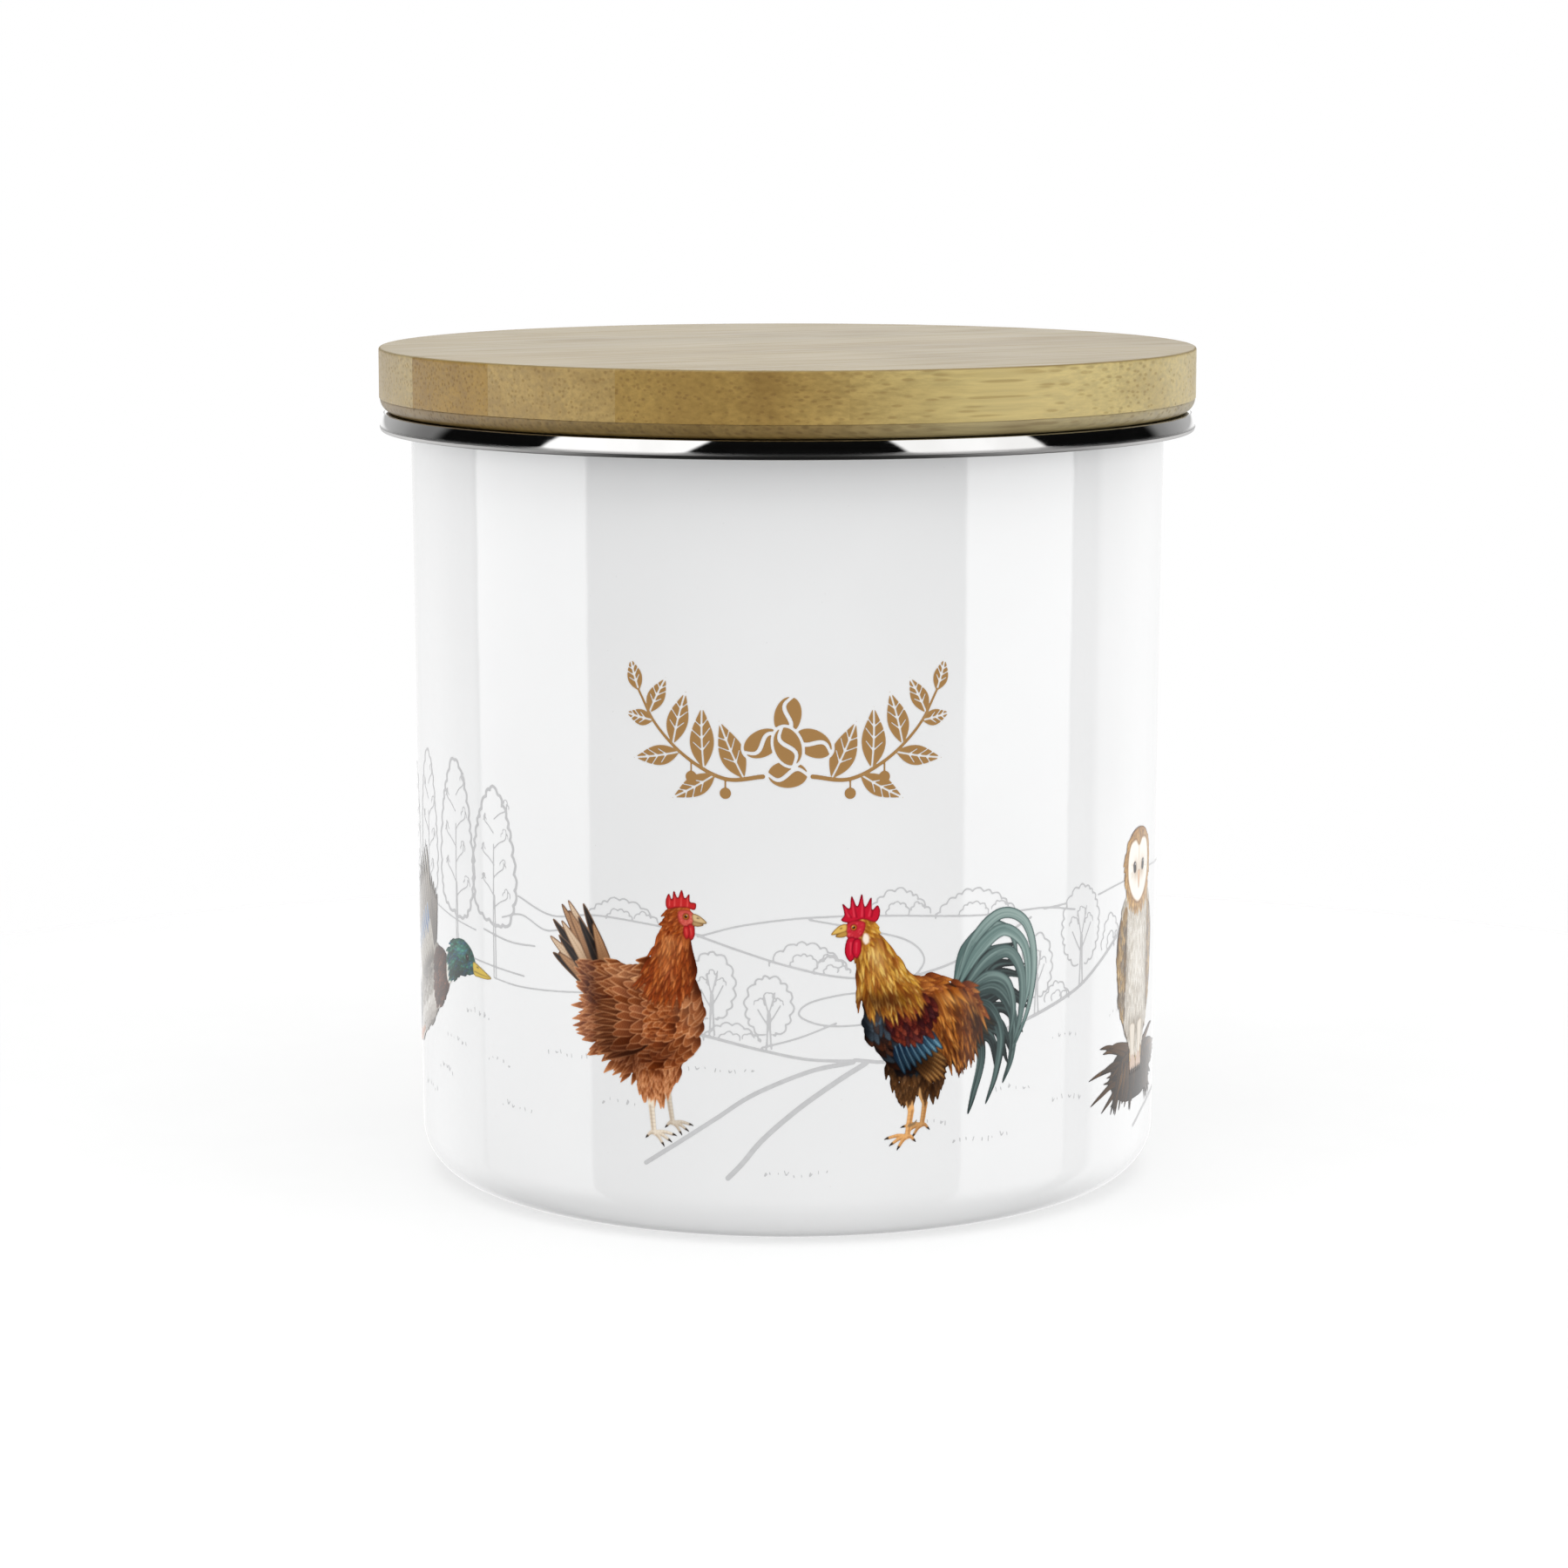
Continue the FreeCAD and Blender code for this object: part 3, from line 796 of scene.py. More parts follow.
    # wing: long feathers first, then rows of coverts
    for i in range(9):
        k = i / 8.0
        a = math.radians(200 - 26 * k)
        x, y = 1.2 - 1.6 * k, 14.6 + 5.2 * k
        cv.feather(x, y, a, 9.4 - 0.4 * abs(i - 3), 2.3, flight[0], flight[1], edge=flight[2], edge_w=0.20, shaft=mix(flight[1], flight[2], 0.4), bend=0.05, point=0.35, barbs=0.7)
    for row, (ln, wd, n, off) in enumerate(((4.6, 2.2, 9, 0.0), (3.9, 2.0, 9, 1.7), (3.2, 1.8, 8, 3.2), (2.6, 1.6, 7, 4.5))):
        for i in range(n):
            k = i / (n - 1)
            a = math.radians(206 - 38 * k + cv.rng.normal(0, 3))
            x = -0.8 + off + 1.0 * math.sin(k * 3.1) + cv.rng.normal(0, 0.12)
            y = 14.6 + 0.35 * off + (8.4 - 0.55 * off) * k
            j = cv.rng.normal(0, 8)
            cv.feather(x, y, a, ln, wd, np.clip(np.array(wing[0]) + j, 0, 255), np.clip(np.array(wing[1]) + j, 0, 255), edge=wing[2], edge_w=0.20, shaft=None, point=0.18, barbs=0.6)
    shoulder = spline([(2.2, 16.0), (5.2, 16.4), (6.6, 20.0), (5.2, 24.0), (2.8, 24.6), (1.8, 20.0)], 6, True)
    coat(cv, shoulder, flow([(3, 17, 205), (5, 20, 200), (3, 24, 178)]), 1.0, 2.1, 1.45, body, (8, 24), point=0.15, barbs=0.5, edge_w=0.17)
    # form
    cv.tint(cv.blob(-3.5, 12.5, 5.5, 2.6, -0.5), dark, 0.40)
    cv.tint(cv.blob(3.2, 13.0, 4.6, 1.5, 0.15), dark, 0.30)
    cv.tint(cv.blob(-8.2, 21.4, 1.6, 4.6, 0.2), dark, 0.42)
    cv.tint(cv.blob(9.9, 15.5, 1.5, 5.0, 0.2), dark, 0.32)
    cv.lift(cv.blob(7.0, 20.6, 1.9, 3.6, 0.1), (246, 208, 168), 0.24)
    cv.lift(cv.blob(-3.0, 24.6, 4.2, 1.4, 0.0), (250, 214, 176), 0.20)
    # neck hackle: a cape of narrow feathers
    cape = spline([(4.3, 33.6), (7.2, 32.4), (8.2, 29.0), (8.7, 25.8), (6.6, 23.2), (3.2, 22.6), (0.6, 24.6), (1.8, 28.2), (3.0, 31.4)], 8, True)
    cv.fill(cape, neck[1][0])
    coat(cv, cape, flow([(5, 33, 262), (8, 29, 268), (8, 25, 262), (4, 25, 248), (1, 26, 228), (2.4, 30, 240)]), 0.78, 3.1, 0.86, neck, (5.6, 36), point=0.75, barbs=0.2, edge=neck_edge, edge_w=0.10)
    cv.tint(cv.blob(8.6, 27.0, 0.9, 4.2, 0.1), dark, 0.40)
    cv.lift(cv.blob(4.4, 29.4, 1.5, 3.4, -0.3), (255, 206, 140) if pal == "brown" else (250, 250, 250), 0.22)
    # head
    head = spline([(3.9, 32.6), (4.0, 34.6), (5.2, 35.9), (6.9, 35.9), (8.0, 34.9), (8.2, 33.4), (7.4, 32.0), (5.6, 31.4)], 8, True)
    cv.fill(head, neck[0][1])
    coat(cv, head, flow([(5, 34, 215), (7, 33, 225)]), 0.55, 1.25, 0.55, neck, (8.6, 34.6), point=0.7, barbs=0.1, edge=neck_edge, edge_w=0.06)
    red, deep, pink = (204, 44, 46), (140, 22, 30), (236, 112, 104)
    comb = [(4.3, 35.2), (4.0, 36.3), (4.5, 37.5), (5.0, 36.6), (5.3, 38.0), (5.9, 36.9), (6.5, 38.2), (7.0, 36.9), (7.7, 37.6), (7.8, 36.4), (8.7, 36.2), (8.5, 35.2), (7.2, 35.5), (5.6, 35.4)]
    cv.fill(spline(comb, 5, True), red, edge=deep, edge_w=0.22)
    for x in (4.6, 5.4, 6.4, 7.4):
        cv.stroke([(x, 35.7), (x + 0.05, 37.0)], 0.10, 0.05, pink, alpha=0.7, hold=True)
    face = spline([(6.0, 34.9), (7.6, 35.1), (8.5, 34.3), (8.2, 33.0), (7.2, 32.6), (6.1, 33.3)], 6, True)
    cv.fill(face, (206, 84, 74), edge=(168, 52, 46), edge_w=0.25)
    for i in range(26):
        x, y = cv.rng.uniform(6.1, 8.2), cv.rng.uniform(32.9, 34.9)
        cv.stroke([(x, y), (x + 0.12, y - 0.1)], 0.05, 0.05, (232, 140, 124), alpha=0.7, hold=True)
    for x, y, s in ((7.9, 31.9, 1.0), (7.2, 31.8, 0.85)):
        w = spline([(x - 0.45 * s, y + 1.0 * s), (x + 0.45 * s, y + 1.0 * s), (x + 0.62 * s, y - 0.4 * s), (x + 0.1 * s, y - 1.3 * s), (x - 0.5 * s, y - 0.5 * s)], 6, True)
        cv.fill(w, red, edge=deep, edge_w=0.25)
        cv.stroke([(x - 0.05, y + 0.5 * s), (x + 0.1, y - 0.5 * s)], 0.12, 0.06, pink, alpha=0.6, hold=True)
    cv.fill(spline([(8.2, 34.6), (9.3, 34.3), (10.4, 33.3), (9.5, 33.2), (8.3, 33.5)], 6, True), (206, 178, 132), edge=(132, 100, 62), edge_w=0.22)
    cv.fill(spline([(8.3, 33.5), (9.4, 33.25), (9.9, 32.95), (9.0, 32.7), (8.2, 32.9)], 6, True), (176, 142, 98), edge=(112, 82, 52), edge_w=0.16)
    cv.stroke([(8.9, 34.0), (9.25, 33.95)], 0.07, 0.03, (70, 46, 30))
    ex, ey = 7.15, 34.15
    for r, c in ((0.50, (96, 40, 30)), (0.40, (214, 122, 40)), (0.23, (18, 12, 10))):
        cv.stroke([(ex, ey), (ex + 0.01, ey)], r, r, c, soft=0.05)
    cv.stroke([(ex + 0.12, ey + 0.14), (ex + 0.13, ey + 0.14)], 0.08, 0.08, (255, 255, 255))
    # near leg
    shank(cv, (1.3, 8.2), (1.5, 5.0), (1.9, 0.9), 1, leg, leg_dark, w=0.55, toe=3.1)
    coat(cv, spline([(-0.2, 10.6), (3.6, 10.8), (2.8, 7.6), (0.9, 6.9)], 6, True), flow([(0, 10, 262), (3, 9, 276)]), 0.7, 1.9, 0.8, fluff, (2, 20), point=0.85, barbs=0.4, edge_w=0.12)
    return cv


def rooster(seed=23):
    """A cock facing left, feet at y = 0."""
    cv = Canvas(-19.5, -3.5, 20.5, 40.5, seed)
    leg, leg_dark = (222, 168, 108), (150, 96, 56)
    shank(cv, (-2.6, 9.2), (-1.4, 6.0), (-1.9, 2.6), -1, np.array(leg) * 0.88, leg_dark, w=0.52, toe=3.0)
    # tail: dark under-feathers, then long sickles that rise, arch and hang
    dark, sheen, pale = (44, 60, 60), (104, 130, 126), (172, 188, 182)
    for i in range(11):
        k = i / 10.0
        a = math.radians(64 - 118 * k + cv.rng.normal(0, 3))
        p = (4.4 + 1.6 * math.sin(k * 3), 23.6 - 5.6 * k)
        q = np.array(p) + np.array([math.cos(a), math.sin(a)]) * (7.5 - 1.0 * k)
        r = q + np.array([math.cos(a - 0.75), math.sin(a - 0.75)]) * 5.6
        plume(cv, [p, (np.array(p) + q) / 2, q, r], 1.35, mix(dark, (30, 34, 36), 0.4), sheen, (24, 30, 32), mix(sheen, dark, 0.4), hairs=6)
    for n, (pts, wd) in enumerate((
        ([(4.6, 21.2), (9.4, 20.4), (12.0, 15.6), (11.2, 9.6), (9.2, 4.6)], 1.15),
        ([(4.8, 22.0), (10.6, 23.2), (14.2, 18.8), (14.2, 12.2), (12.4, 7.6)], 1.25),
        ([(4.2, 20.0), (7.4, 17.2), (8.4, 12.2), (7.0, 6.6), (6.0, 3.4)], 1.10),
        ([(3.4, 24.2), (5.4, 29.6), (9.6, 33.0), (13.6, 31.8), (15.2, 27.6)], 1.25),
        ([(4.0, 23.8), (7.6, 29.2), (12.2, 32.2), (16.4, 29.4), (17.4, 23.4), (15.8, 17.4)], 1.35),
        ([(4.6, 23.0), (9.2, 27.6), (13.4, 28.6), (16.0, 24.8), (16.0, 18.8), (14.4, 13.6)], 1.35),
        ([(4.6, 22.4), (9.4, 25.0), (13.0, 23.8), (14.4, 19.6), (13.6, 14.6)], 1.25),
        ([(3.8, 24.4), (6.8, 31.0), (11.8, 34.8), (16.6, 33.0), (18.6, 27.0), (17.6, 19.6), (14.2, 12.4)], 1.15),
    )):
        c0 = mix(dark, sheen, (0.10, 0.25, 0.0, 0.75, 0.95, 0.70, 0.45, 0.85)[n])
        c1 = mix(sheen, pale, (0.0, 0.2, 0.0, 0.8, 0.9, 0.7, 0.4, 0.9)[n])
        plume(cv, pts, wd, c0, c1, mix(dark, c0, 0.35), mix(c0, pale, 0.5), hairs=11, hair_w=0.12)
    # hanging dark fluff under the tail
    for i in range(16):
        k = i / 15.0
        cv.feather(2.4 + 5.0 * k * 0.9, 15.0 + 5.6 * k, math.radians(-66 + 30 * k + cv.rng.normal(0, 4)), 5.6, 1.5, (56, 44, 32), mix((40, 46, 42), (120, 92, 54), cv.rng.uniform(0, 0.6)), edge=(34, 30, 26), edge_w=0.12, point=0.8, barbs=0.4)
    trunk = spline([(-8.6, 27.6), (-11.2, 23.2), (-11.0, 18.4), (-8.8, 14.0), (-5.2, 10.6), (-1.2, 9.4), (2.6, 11.8), (6.4, 15.6), (7.6, 20.0), (6.2, 24.0), (1.6, 24.8), (-3.4, 26.4)], 8, True)
    cv.fill(trunk, (66, 38, 24))
    # thighs
    for px, py in ((-0.4, 12.6), (-4.6, 12.6)):
        th = spline([(px - 2.8, py + 2.6), (px + 2.4, py + 3.0), (px + 2.2, py - 1.2), (px + 0.8, py - 4.6), (px - 0.8, py - 4.8), (px - 2.4, py - 1.4)], 6, True)
        coat(cv, th, flow([(px, py + 3, 268), (px, py - 4, 272)]), 0.9, 2.7, 1.1, [((64, 40, 26), (112, 72, 40), (52, 34, 24)), ((84, 54, 32), (140, 92, 50), (60, 40, 26))], (px, 24), point=0.8, barbs=0.4, edge_w=0.12)
    # breast: blue-black with rust
    breast = spline([(-8.4, 27.0), (-11.3, 23.0), (-11.1, 18.0), (-8.6, 13.2), (-4.4, 10.8), (-2.6, 13.4), (-4.6, 18.4), (-5.8, 23.4)], 6, True)
    coat(cv, breast, flow([(-9, 26, 288), (-11, 20, 292), (-8, 14, 322), (-4, 12, 345)]), 1.2, 2.8, 1.7, [((36, 30, 32), (70, 44, 36), (30, 24, 24)), ((52, 32, 28), (104, 58, 38), (40, 26, 24)), ((44, 50, 60), (66, 80, 92), (30, 30, 34))], (-8, 32), point=0.25, barbs=0.5, edge_w=0.16)
    # back and saddle
    back = spline([(-4.6, 26.4), (1.4, 25.6), (6.0, 24.4), (7.8, 20.4), (4.8, 20.2), (0.6, 21.6), (-3.4, 22.8)], 6, True)
    coat(cv, back, flow([(-3, 25, 352), (4, 23, 335), (7, 21, 305)]), 1.2, 3.2, 1.4, [((122, 54, 24), (184, 98, 40), (96, 44, 22)), ((150, 74, 30), (212, 134, 60), (120, 60, 28))], (-8, 28), point=0.7, barbs=0.4, edge_w=0.12)
    saddle = spline([(-0.4, 23.6), (4.2, 24.0), (7.6, 21.4), (7.2, 16.8), (4.4, 14.0), (1.2, 14.6), (-0.6, 18.4)], 6, True)
    coat(cv, saddle, flow([(2, 23, 300), (7, 21, 285), (3, 15, 288), (6, 16, 278), (0, 18, 292)]), 0.82, 4.6, 0.86, [((150, 76, 26), (206, 128, 50)), ((176, 98, 36), (226, 156, 74)), ((116, 56, 22), (168, 92, 36)), ((90, 46, 22), (138, 76, 34))], (-4, 30), point=0.9, barbs=0.15, edge=(78, 38, 18), edge_w=0.09)
    # wing: flight feathers, the blue bar, the wine-red shoulder
    for i in range(7):
        k = i / 6.0
        cv.feather(-3.6 + 1.0 * k, 14.2 + 2.0 * k, math.radians(-62 + 20 * k), 7.8 - 0.5 * abs(i - 3), 2.0, (96, 58, 30), (168, 112, 56), edge=(70, 44, 28), edge_w=0.20, shaft=(206, 160, 96), point=0.45, barbs=0.7, bend=0.08)
    for i in range(8):
        k = i / 7.0
        cv.feather(-6.4 + 4.6 * k, 15.4 + 2.6 * k, math.radians(-72 + 22 * k), 5.0, 1.9, (30, 52, 78), mix((62, 112, 150), (96, 150, 176), k), edge=(24, 34, 50), edge_w=0.22, shaft=(150, 190, 206), point=0.35, barbs=0.7, bend=0.04)
    sh = spline([(-8.2, 22.6), (-4.6, 24.0), (-0.8, 22.8), (-0.6, 19.6), (-3.2, 17.4), (-6.6, 17.6), (-8.4, 19.8)], 6, True)
    coat(cv, sh, flow([(-7, 21, 300), (-4, 20, 300), (-1, 21, 308)]), 1.0, 2.7, 1.5, [((70, 22, 24), (120, 42, 36), (52, 18, 20)), ((88, 30, 26), (150, 62, 42), (64, 24, 22)), ((54, 22, 26), (96, 40, 42), (40, 18, 22))], (-8, 28), point=0.3, barbs=0.5, edge_w=0.14)
    cv.tint(cv.blob(-3.5, 12.0, 5.5, 2.2, 0.1), (40, 24, 18), 0.42)
    cv.tint(cv.blob(-11.2, 17.5, 1.2, 5.0, -0.15), (24, 20, 26), 0.4)
    cv.tint(cv.blob(7.4, 18.0, 1.2, 4.2, 0.1), (36, 26, 20), 0.42)
    cv.lift(cv.blob(-9.2, 20.0, 1.0, 3.2, -0.1), (170, 190, 206), 0.22)
    cv.lift(cv.blob(3.0, 22.0, 2.6, 1.1, -0.3), (255, 214, 140), 0.28)
    # hackle, laid from the shoulders up to the head
    cape = spline([(-12.6, 33.0), (-9.6, 33.4), (-7.4, 31.4), (-5.2, 28.2), (-3.0, 25.2), (-3.8, 22.4), (-7.6, 22.2), (-11.0, 22.8), (-12.4, 25.4), (-12.6, 29.2)], 8, True)
    cv.fill(cape, (150, 92, 30))
    gold = [((190, 128, 36), (226, 176, 74)), ((206, 150, 52), (240, 204, 112)), ((164, 98, 28), (206, 144, 54)), ((140, 74, 26), (190, 116, 44))]
    coat(cv, cape, flow([(-12, 32, 275), (-12.4, 26, 272), (-8, 31, 298), (-5, 27, 312), (-8, 24, 286), (-4, 24, 302)]), 0.74, 3.9, 0.80, gold, (-11, 36), point=0.92, barbs=0.12, edge=(110, 60, 22), edge_w=0.08)
    cv.tint(cv.blob(-8.6, 22.4, 4.6, 1.5, 0.0), (70, 24, 16), 0.55)
    cv.tint(cv.blob(-12.8, 28.0, 0.8, 4.4, 0.0), (120, 60, 30), 0.4)
    cv.lift(cv.blob(-9.4, 29.6, 1.3, 3.0, 0.35), (255, 236, 170), 0.35)
    # head
    head = spline([(-10.0, 32.4), (-9.6, 34.6), (-10.8, 36.0), (-12.8, 36.0), (-14.0, 34.8), (-14.0, 33.0), (-12.8, 31.8), (-11.2, 31.6)], 8, True)
    cv.fill(head, (196, 128, 44))
    coat(cv, head, flow([(-10, 34, 320), (-12, 32, 300)]), 0.55, 1.4, 0.55, gold, (-14.4, 35), point=0.8, barbs=0.1, edge=(130, 74, 28), edge_w=0.06)
    red, deep, pink = (208, 26, 52), (136, 12, 34), (240, 92, 104)
    comb = [(-9.6, 35.0), (-8.9, 36.4), (-9.3, 37.6), (-10.2, 36.9), (-10.3, 38.9), (-11.3, 37.4), (-11.8, 39.5), (-12.5, 37.5), (-13.4, 39.2), (-13.7, 37.2), (-14.8, 38.0), (-14.5, 36.3), (-15.0, 35.4), (-13.6, 35.0), (-11.6, 35.5)]
    cv.fill(spline(comb, 5, True), red, edge=deep, edge_w=0.25)
    for x, t in ((-10.2, 38.0), (-11.7, 38.6), (-13.3, 38.3), (-14.4, 37.2)):
        cv.stroke([(x * 0.75 - 3.0, 36.0), (x, t)], 0.16, 0.05, pink, alpha=0.55, hold=True)
        cv.stroke([(x * 0.75 - 2.6, 35.8), (x + 0.3, t - 0.4)], 0.10, 0.04, deep, alpha=0.6, hold=True)
    face = spline([(-11.3, 35.0), (-13.2, 35.3), (-14.4, 34.4), (-14.1, 32.8), (-12.9, 32.3), (-11.6, 33.2)], 6, True)
    cv.fill(face, (206, 44, 58), edge=(160, 20, 38), edge_w=0.25)
    for i in range(30):
        x, y = cv.rng.uniform(-14.0, -11.7), cv.rng.uniform(32.7, 34.9)
        cv.stroke([(x, y), (x - 0.12, y - 0.1)], 0.05, 0.05, (236, 110, 112), alpha=0.65, hold=True)
    for x, y, s in ((-13.4, 30.9, 1.35), (-12.5, 31.0, 1.1)):
        w = spline([(x + 0.5 * s, y + 1.2 * s), (x - 0.45 * s, y + 1.2 * s), (x - 0.75 * s, y - 0.4 * s), (x - 0.1 * s, y - 1.5 * s), (x + 0.55 * s, y - 0.5 * s)], 6, True)
        cv.fill(w, red, edge=deep, edge_w=0.28)
        cv.stroke([(x - 0.1, y + 0.7 * s), (x - 0.15, y - 0.7 * s)], 0.16, 0.07, pink, alpha=0.55, hold=True)
    cv.fill(spline([(-11.4, 33.3), (-10.7, 33.0), (-10.6, 31.9), (-11.2, 31.5), (-11.7, 32.3)], 6, True), (236, 222, 206), edge=(190, 150, 132), edge_w=0.2)
    cv.fill(spline([(-14.2, 34.8), (-15.4, 34.5), (-16.6, 33.2), (-15.5, 33.3), (-14.2, 33.7)], 6, True), (214, 176, 92), edge=(140, 96, 44), edge_w=0.22)
    cv.fill(spline([(-14.2, 33.7), (-15.3, 33.4), (-15.9, 32.9), (-15.0, 32.7), (-14.1, 33.0)], 6, True), (184, 140, 66), edge=(116, 78, 36), edge_w=0.16)
    cv.stroke([(-14.9, 34.2), (-15.2, 34.1)], 0.07, 0.03, (80, 50, 26))
    ex, ey = -13.05, 34.25
    for r, c in ((0.50, (110, 20, 26)), (0.40, (230, 140, 40)), (0.23, (18, 12, 10))):
        cv.stroke([(ex, ey), (ex + 0.01, ey)], r, r, c, soft=0.05)
    cv.stroke([(ex - 0.1, ey + 0.14), (ex - 0.11, ey + 0.14)], 0.08, 0.08, (255, 255, 255))
    shank(cv, (-4.4, 8.4), (-3.7, 5.0), (-4.3, 0.9), -1, leg, leg_dark, w=0.58, toe=3.2)
    cv.stroke([(-4.0, 2.6), (-3.1, 2.9), (-2.7, 3.5)], 0.26, 0.05, (150, 120, 86))
    coat(cv, spline([(-6.4, 10.4), (-2.4, 10.6), (-3.6, 7.2), (-5.0, 7.0)], 6, True), flow([(-5, 10, 268), (-3, 9, 274)]), 0.7, 1.9, 0.8, [((84, 54, 32), (140, 92, 50), (60, 40, 26))], (-4, 20), point=0.85, barbs=0.4, edge_w=0.1)
    return cv


def plume(cv, pts, w, c0, c1, edge, shaft, hairs=9, tip=0.55, hair_w=0.09):
    """A long curved feather along a spline."""
    p = spline(pts, 9)
    t = np.linspace(0, 1, len(p))
    d = np.gradient(p, axis=0)
    d /= np.linalg.norm(d, axis=1)[:, None]
    nrm = np.stack([-d[:, 1], d[:, 0]], 1)
    half = w * np.minimum(1, t / 0.25) ** 0.7 * np.maximum(1 - t, 0) ** tip
    half[0] = max(half[0], 0.15 * w)
    cv.fill(np.concatenate([p + nrm * half[:, None], (p - nrm * half[:, None])[::-1]]), c0, soft=0.05, edge=edge, edge_w=0.18)
    for _ in range(hairs):
        o = cv.rng.uniform(-0.85, 0.85)
        a = cv.rng.uniform(0.0, 0.5)
        k = (t >= a) & (t <= cv.rng.uniform(a + 0.3, 1.05))
        cv.stroke(p[k] + nrm[k] * (half[k] * o)[:, None], 0.03, 0.02, mix(c0, c1, cv.rng.uniform(0.2, 1.0)), alpha=0.75, wm=hair_w, hold=True)
    cv.stroke(p[: int(len(p) * 0.9)], 0.07, 0.02, shaft, alpha=0.75, hold=True)


def eye(cv, x, y, r, iris, ring=(60, 40, 30)):
    for k, c in ((1.25, ring), (1.0, iris), (0.62, (16, 12, 10))):
        cv.stroke([(x, y), (x + 0.01, y)], r * k, r * k, c, soft=0.05)
    cv.stroke([(x + r * 0.3, y + r * 0.35), (x + r * 0.31, y + r * 0.35)], r * 0.22, r * 0.22, (255, 255, 255), soft=0.04)


def duck(seed=31):
    """A drake taking off to the right, the tip of its bill at the origin."""
    cv = Canvas(-41.0, -18.5, 1.5, 17.5, seed)
    grey, pale, brown = (148, 140, 130), (214, 208, 198), (84, 68, 56)
    # far wing
    for i in range(10):
        k = i / 9.0
        cv.feather(-19.5 - 2.6 * k, -0.5 - 0.6 * k, math.radians(72 + 34 * k), 13.0 - 1.6 * abs(k - 0.4) * 4, 2.6, (104, 96, 90), (142, 134, 126), edge=(88, 78, 70), edge_w=0.2, shaft=(176, 168, 158), point=0.45, barbs=0.5, bend=0.05)
    # tail
    for i in range(8):
        k = i / 7.0
        cv.feather(-31.6, -9.6 + 1.0 * k, math.radians(232 - 34 * k), 7.4 - 1.2 * abs(k - 0.5), 2.2, (150, 142, 132), (232, 228, 220), edge=(120, 110, 100), edge_w=0.18, shaft=(120, 108, 96), point=0.4, barbs=0.4)
    plume(cv, [(-31.0, -8.2), (-33.6, -7.4), (-35.2, -5.8), (-34.8, -4.4), (-33.8, -4.6)], 0.5, (36, 44, 44), (70, 96, 88), (20, 24, 24), (90, 110, 104), hairs=3)
    # body, chest up
    body = spline([(-13.8, 0.4), (-13.2, -3.2), (-16.4, -6.8), (-21.2, -9.8), (-26.4, -12.6), (-31.0, -13.0), (-33.4, -10.6), (-31.2, -7.2), (-26.2, -3.0), (-21.2, 0.2), (-17.0, 2.0)], 8, True)
    cv.fill(body, grey)
    coat(cv, body, flow([(-14, -1, 205), (-20, -5, 212), (-28, -9, 216), (-32, -10, 208)]), 1.15, 3.0, 1.7,
         [((168, 160, 150), (206, 200, 190), (132, 122, 110)), ((182, 174, 162), (218, 212, 202), (148, 138, 124)), ((150, 142, 132), (192, 184, 174), (116, 106, 94))], (-10, 2), point=0.3, barbs=0.9, edge_w=0.16)
    belly = spline([(-15.6, -6.2), (-20.8, -10.0), (-26.4, -12.9), (-30.6, -13.2), (-27.0, -9.8), (-21.0, -6.8), (-17.4, -4.6)], 6, True)
    coat(cv, belly, flow([(-18, -7, 212), (-28, -12, 214)]), 1.1, 2.6, 1.5, [((206, 200, 190), (236, 232, 226), (180, 172, 162)), ((216, 210, 202), (242, 238, 232), (190, 182, 172))], (-10, 0), point=0.3, barbs=0.5, edge_w=0.14)
    rump = spline([(-29.4, -5.8), (-33.0, -8.6), (-33.0, -11.6), (-30.4, -12.8), (-28.4, -10.0)], 6, True)
    coat(cv, rump, flow([(-30, -9, 214)]), 0.9, 2.2, 1.3, [((30, 34, 36), (58, 66, 66), (20, 22, 24)), ((40, 44, 44), (74, 84, 80), (24, 26, 28))], (-20, -4), point=0.3, barbs=0.5, edge_w=0.12)
    # feet, tucked back
    for x, y in ((-26.2, -12.2), (-28.6, -12.8)):
        cv.stroke([(x, y), (x - 2.2, y - 1.3)], 0.36, 0.30, (222, 128, 48))
        cv.fill(spline([(x - 1.8, y - 0.9), (x - 4.0, y - 1.2), (x - 5.0, y - 2.4), (x - 3.6, y - 2.6), (x - 2.2, y - 1.9)], 6, True), (228, 136, 54), edge=(160, 84, 34), edge_w=0.2)
        for dy in (-1.5, -2.0, -2.4):
            cv.stroke([(x - 2.1, y - 1.3), (x - 4.6, y + dy)], 0.08, 0.04, (160, 84, 34), alpha=0.7, hold=True)
    # chestnut breast
    breast = spline([(-12.4, 0.2), (-12.2, -3.2), (-14.6, -5.8), (-17.6, -6.6), (-18.2, -2.8), (-17.0, 1.2), (-14.6, 1.8)], 6, True)
    cv.fill(breast, (92, 54, 38))
    coat(cv, breast, flow([(-13, -1, 212), (-16, -4, 218)]), 0.8, 1.8, 1.2, [((76, 42, 30), (112, 66, 46), (60, 34, 26)), ((94, 52, 36), (134, 82, 58), (74, 42, 32))], (-10, 2), point=0.2, barbs=0.4, edge_w=0.12)
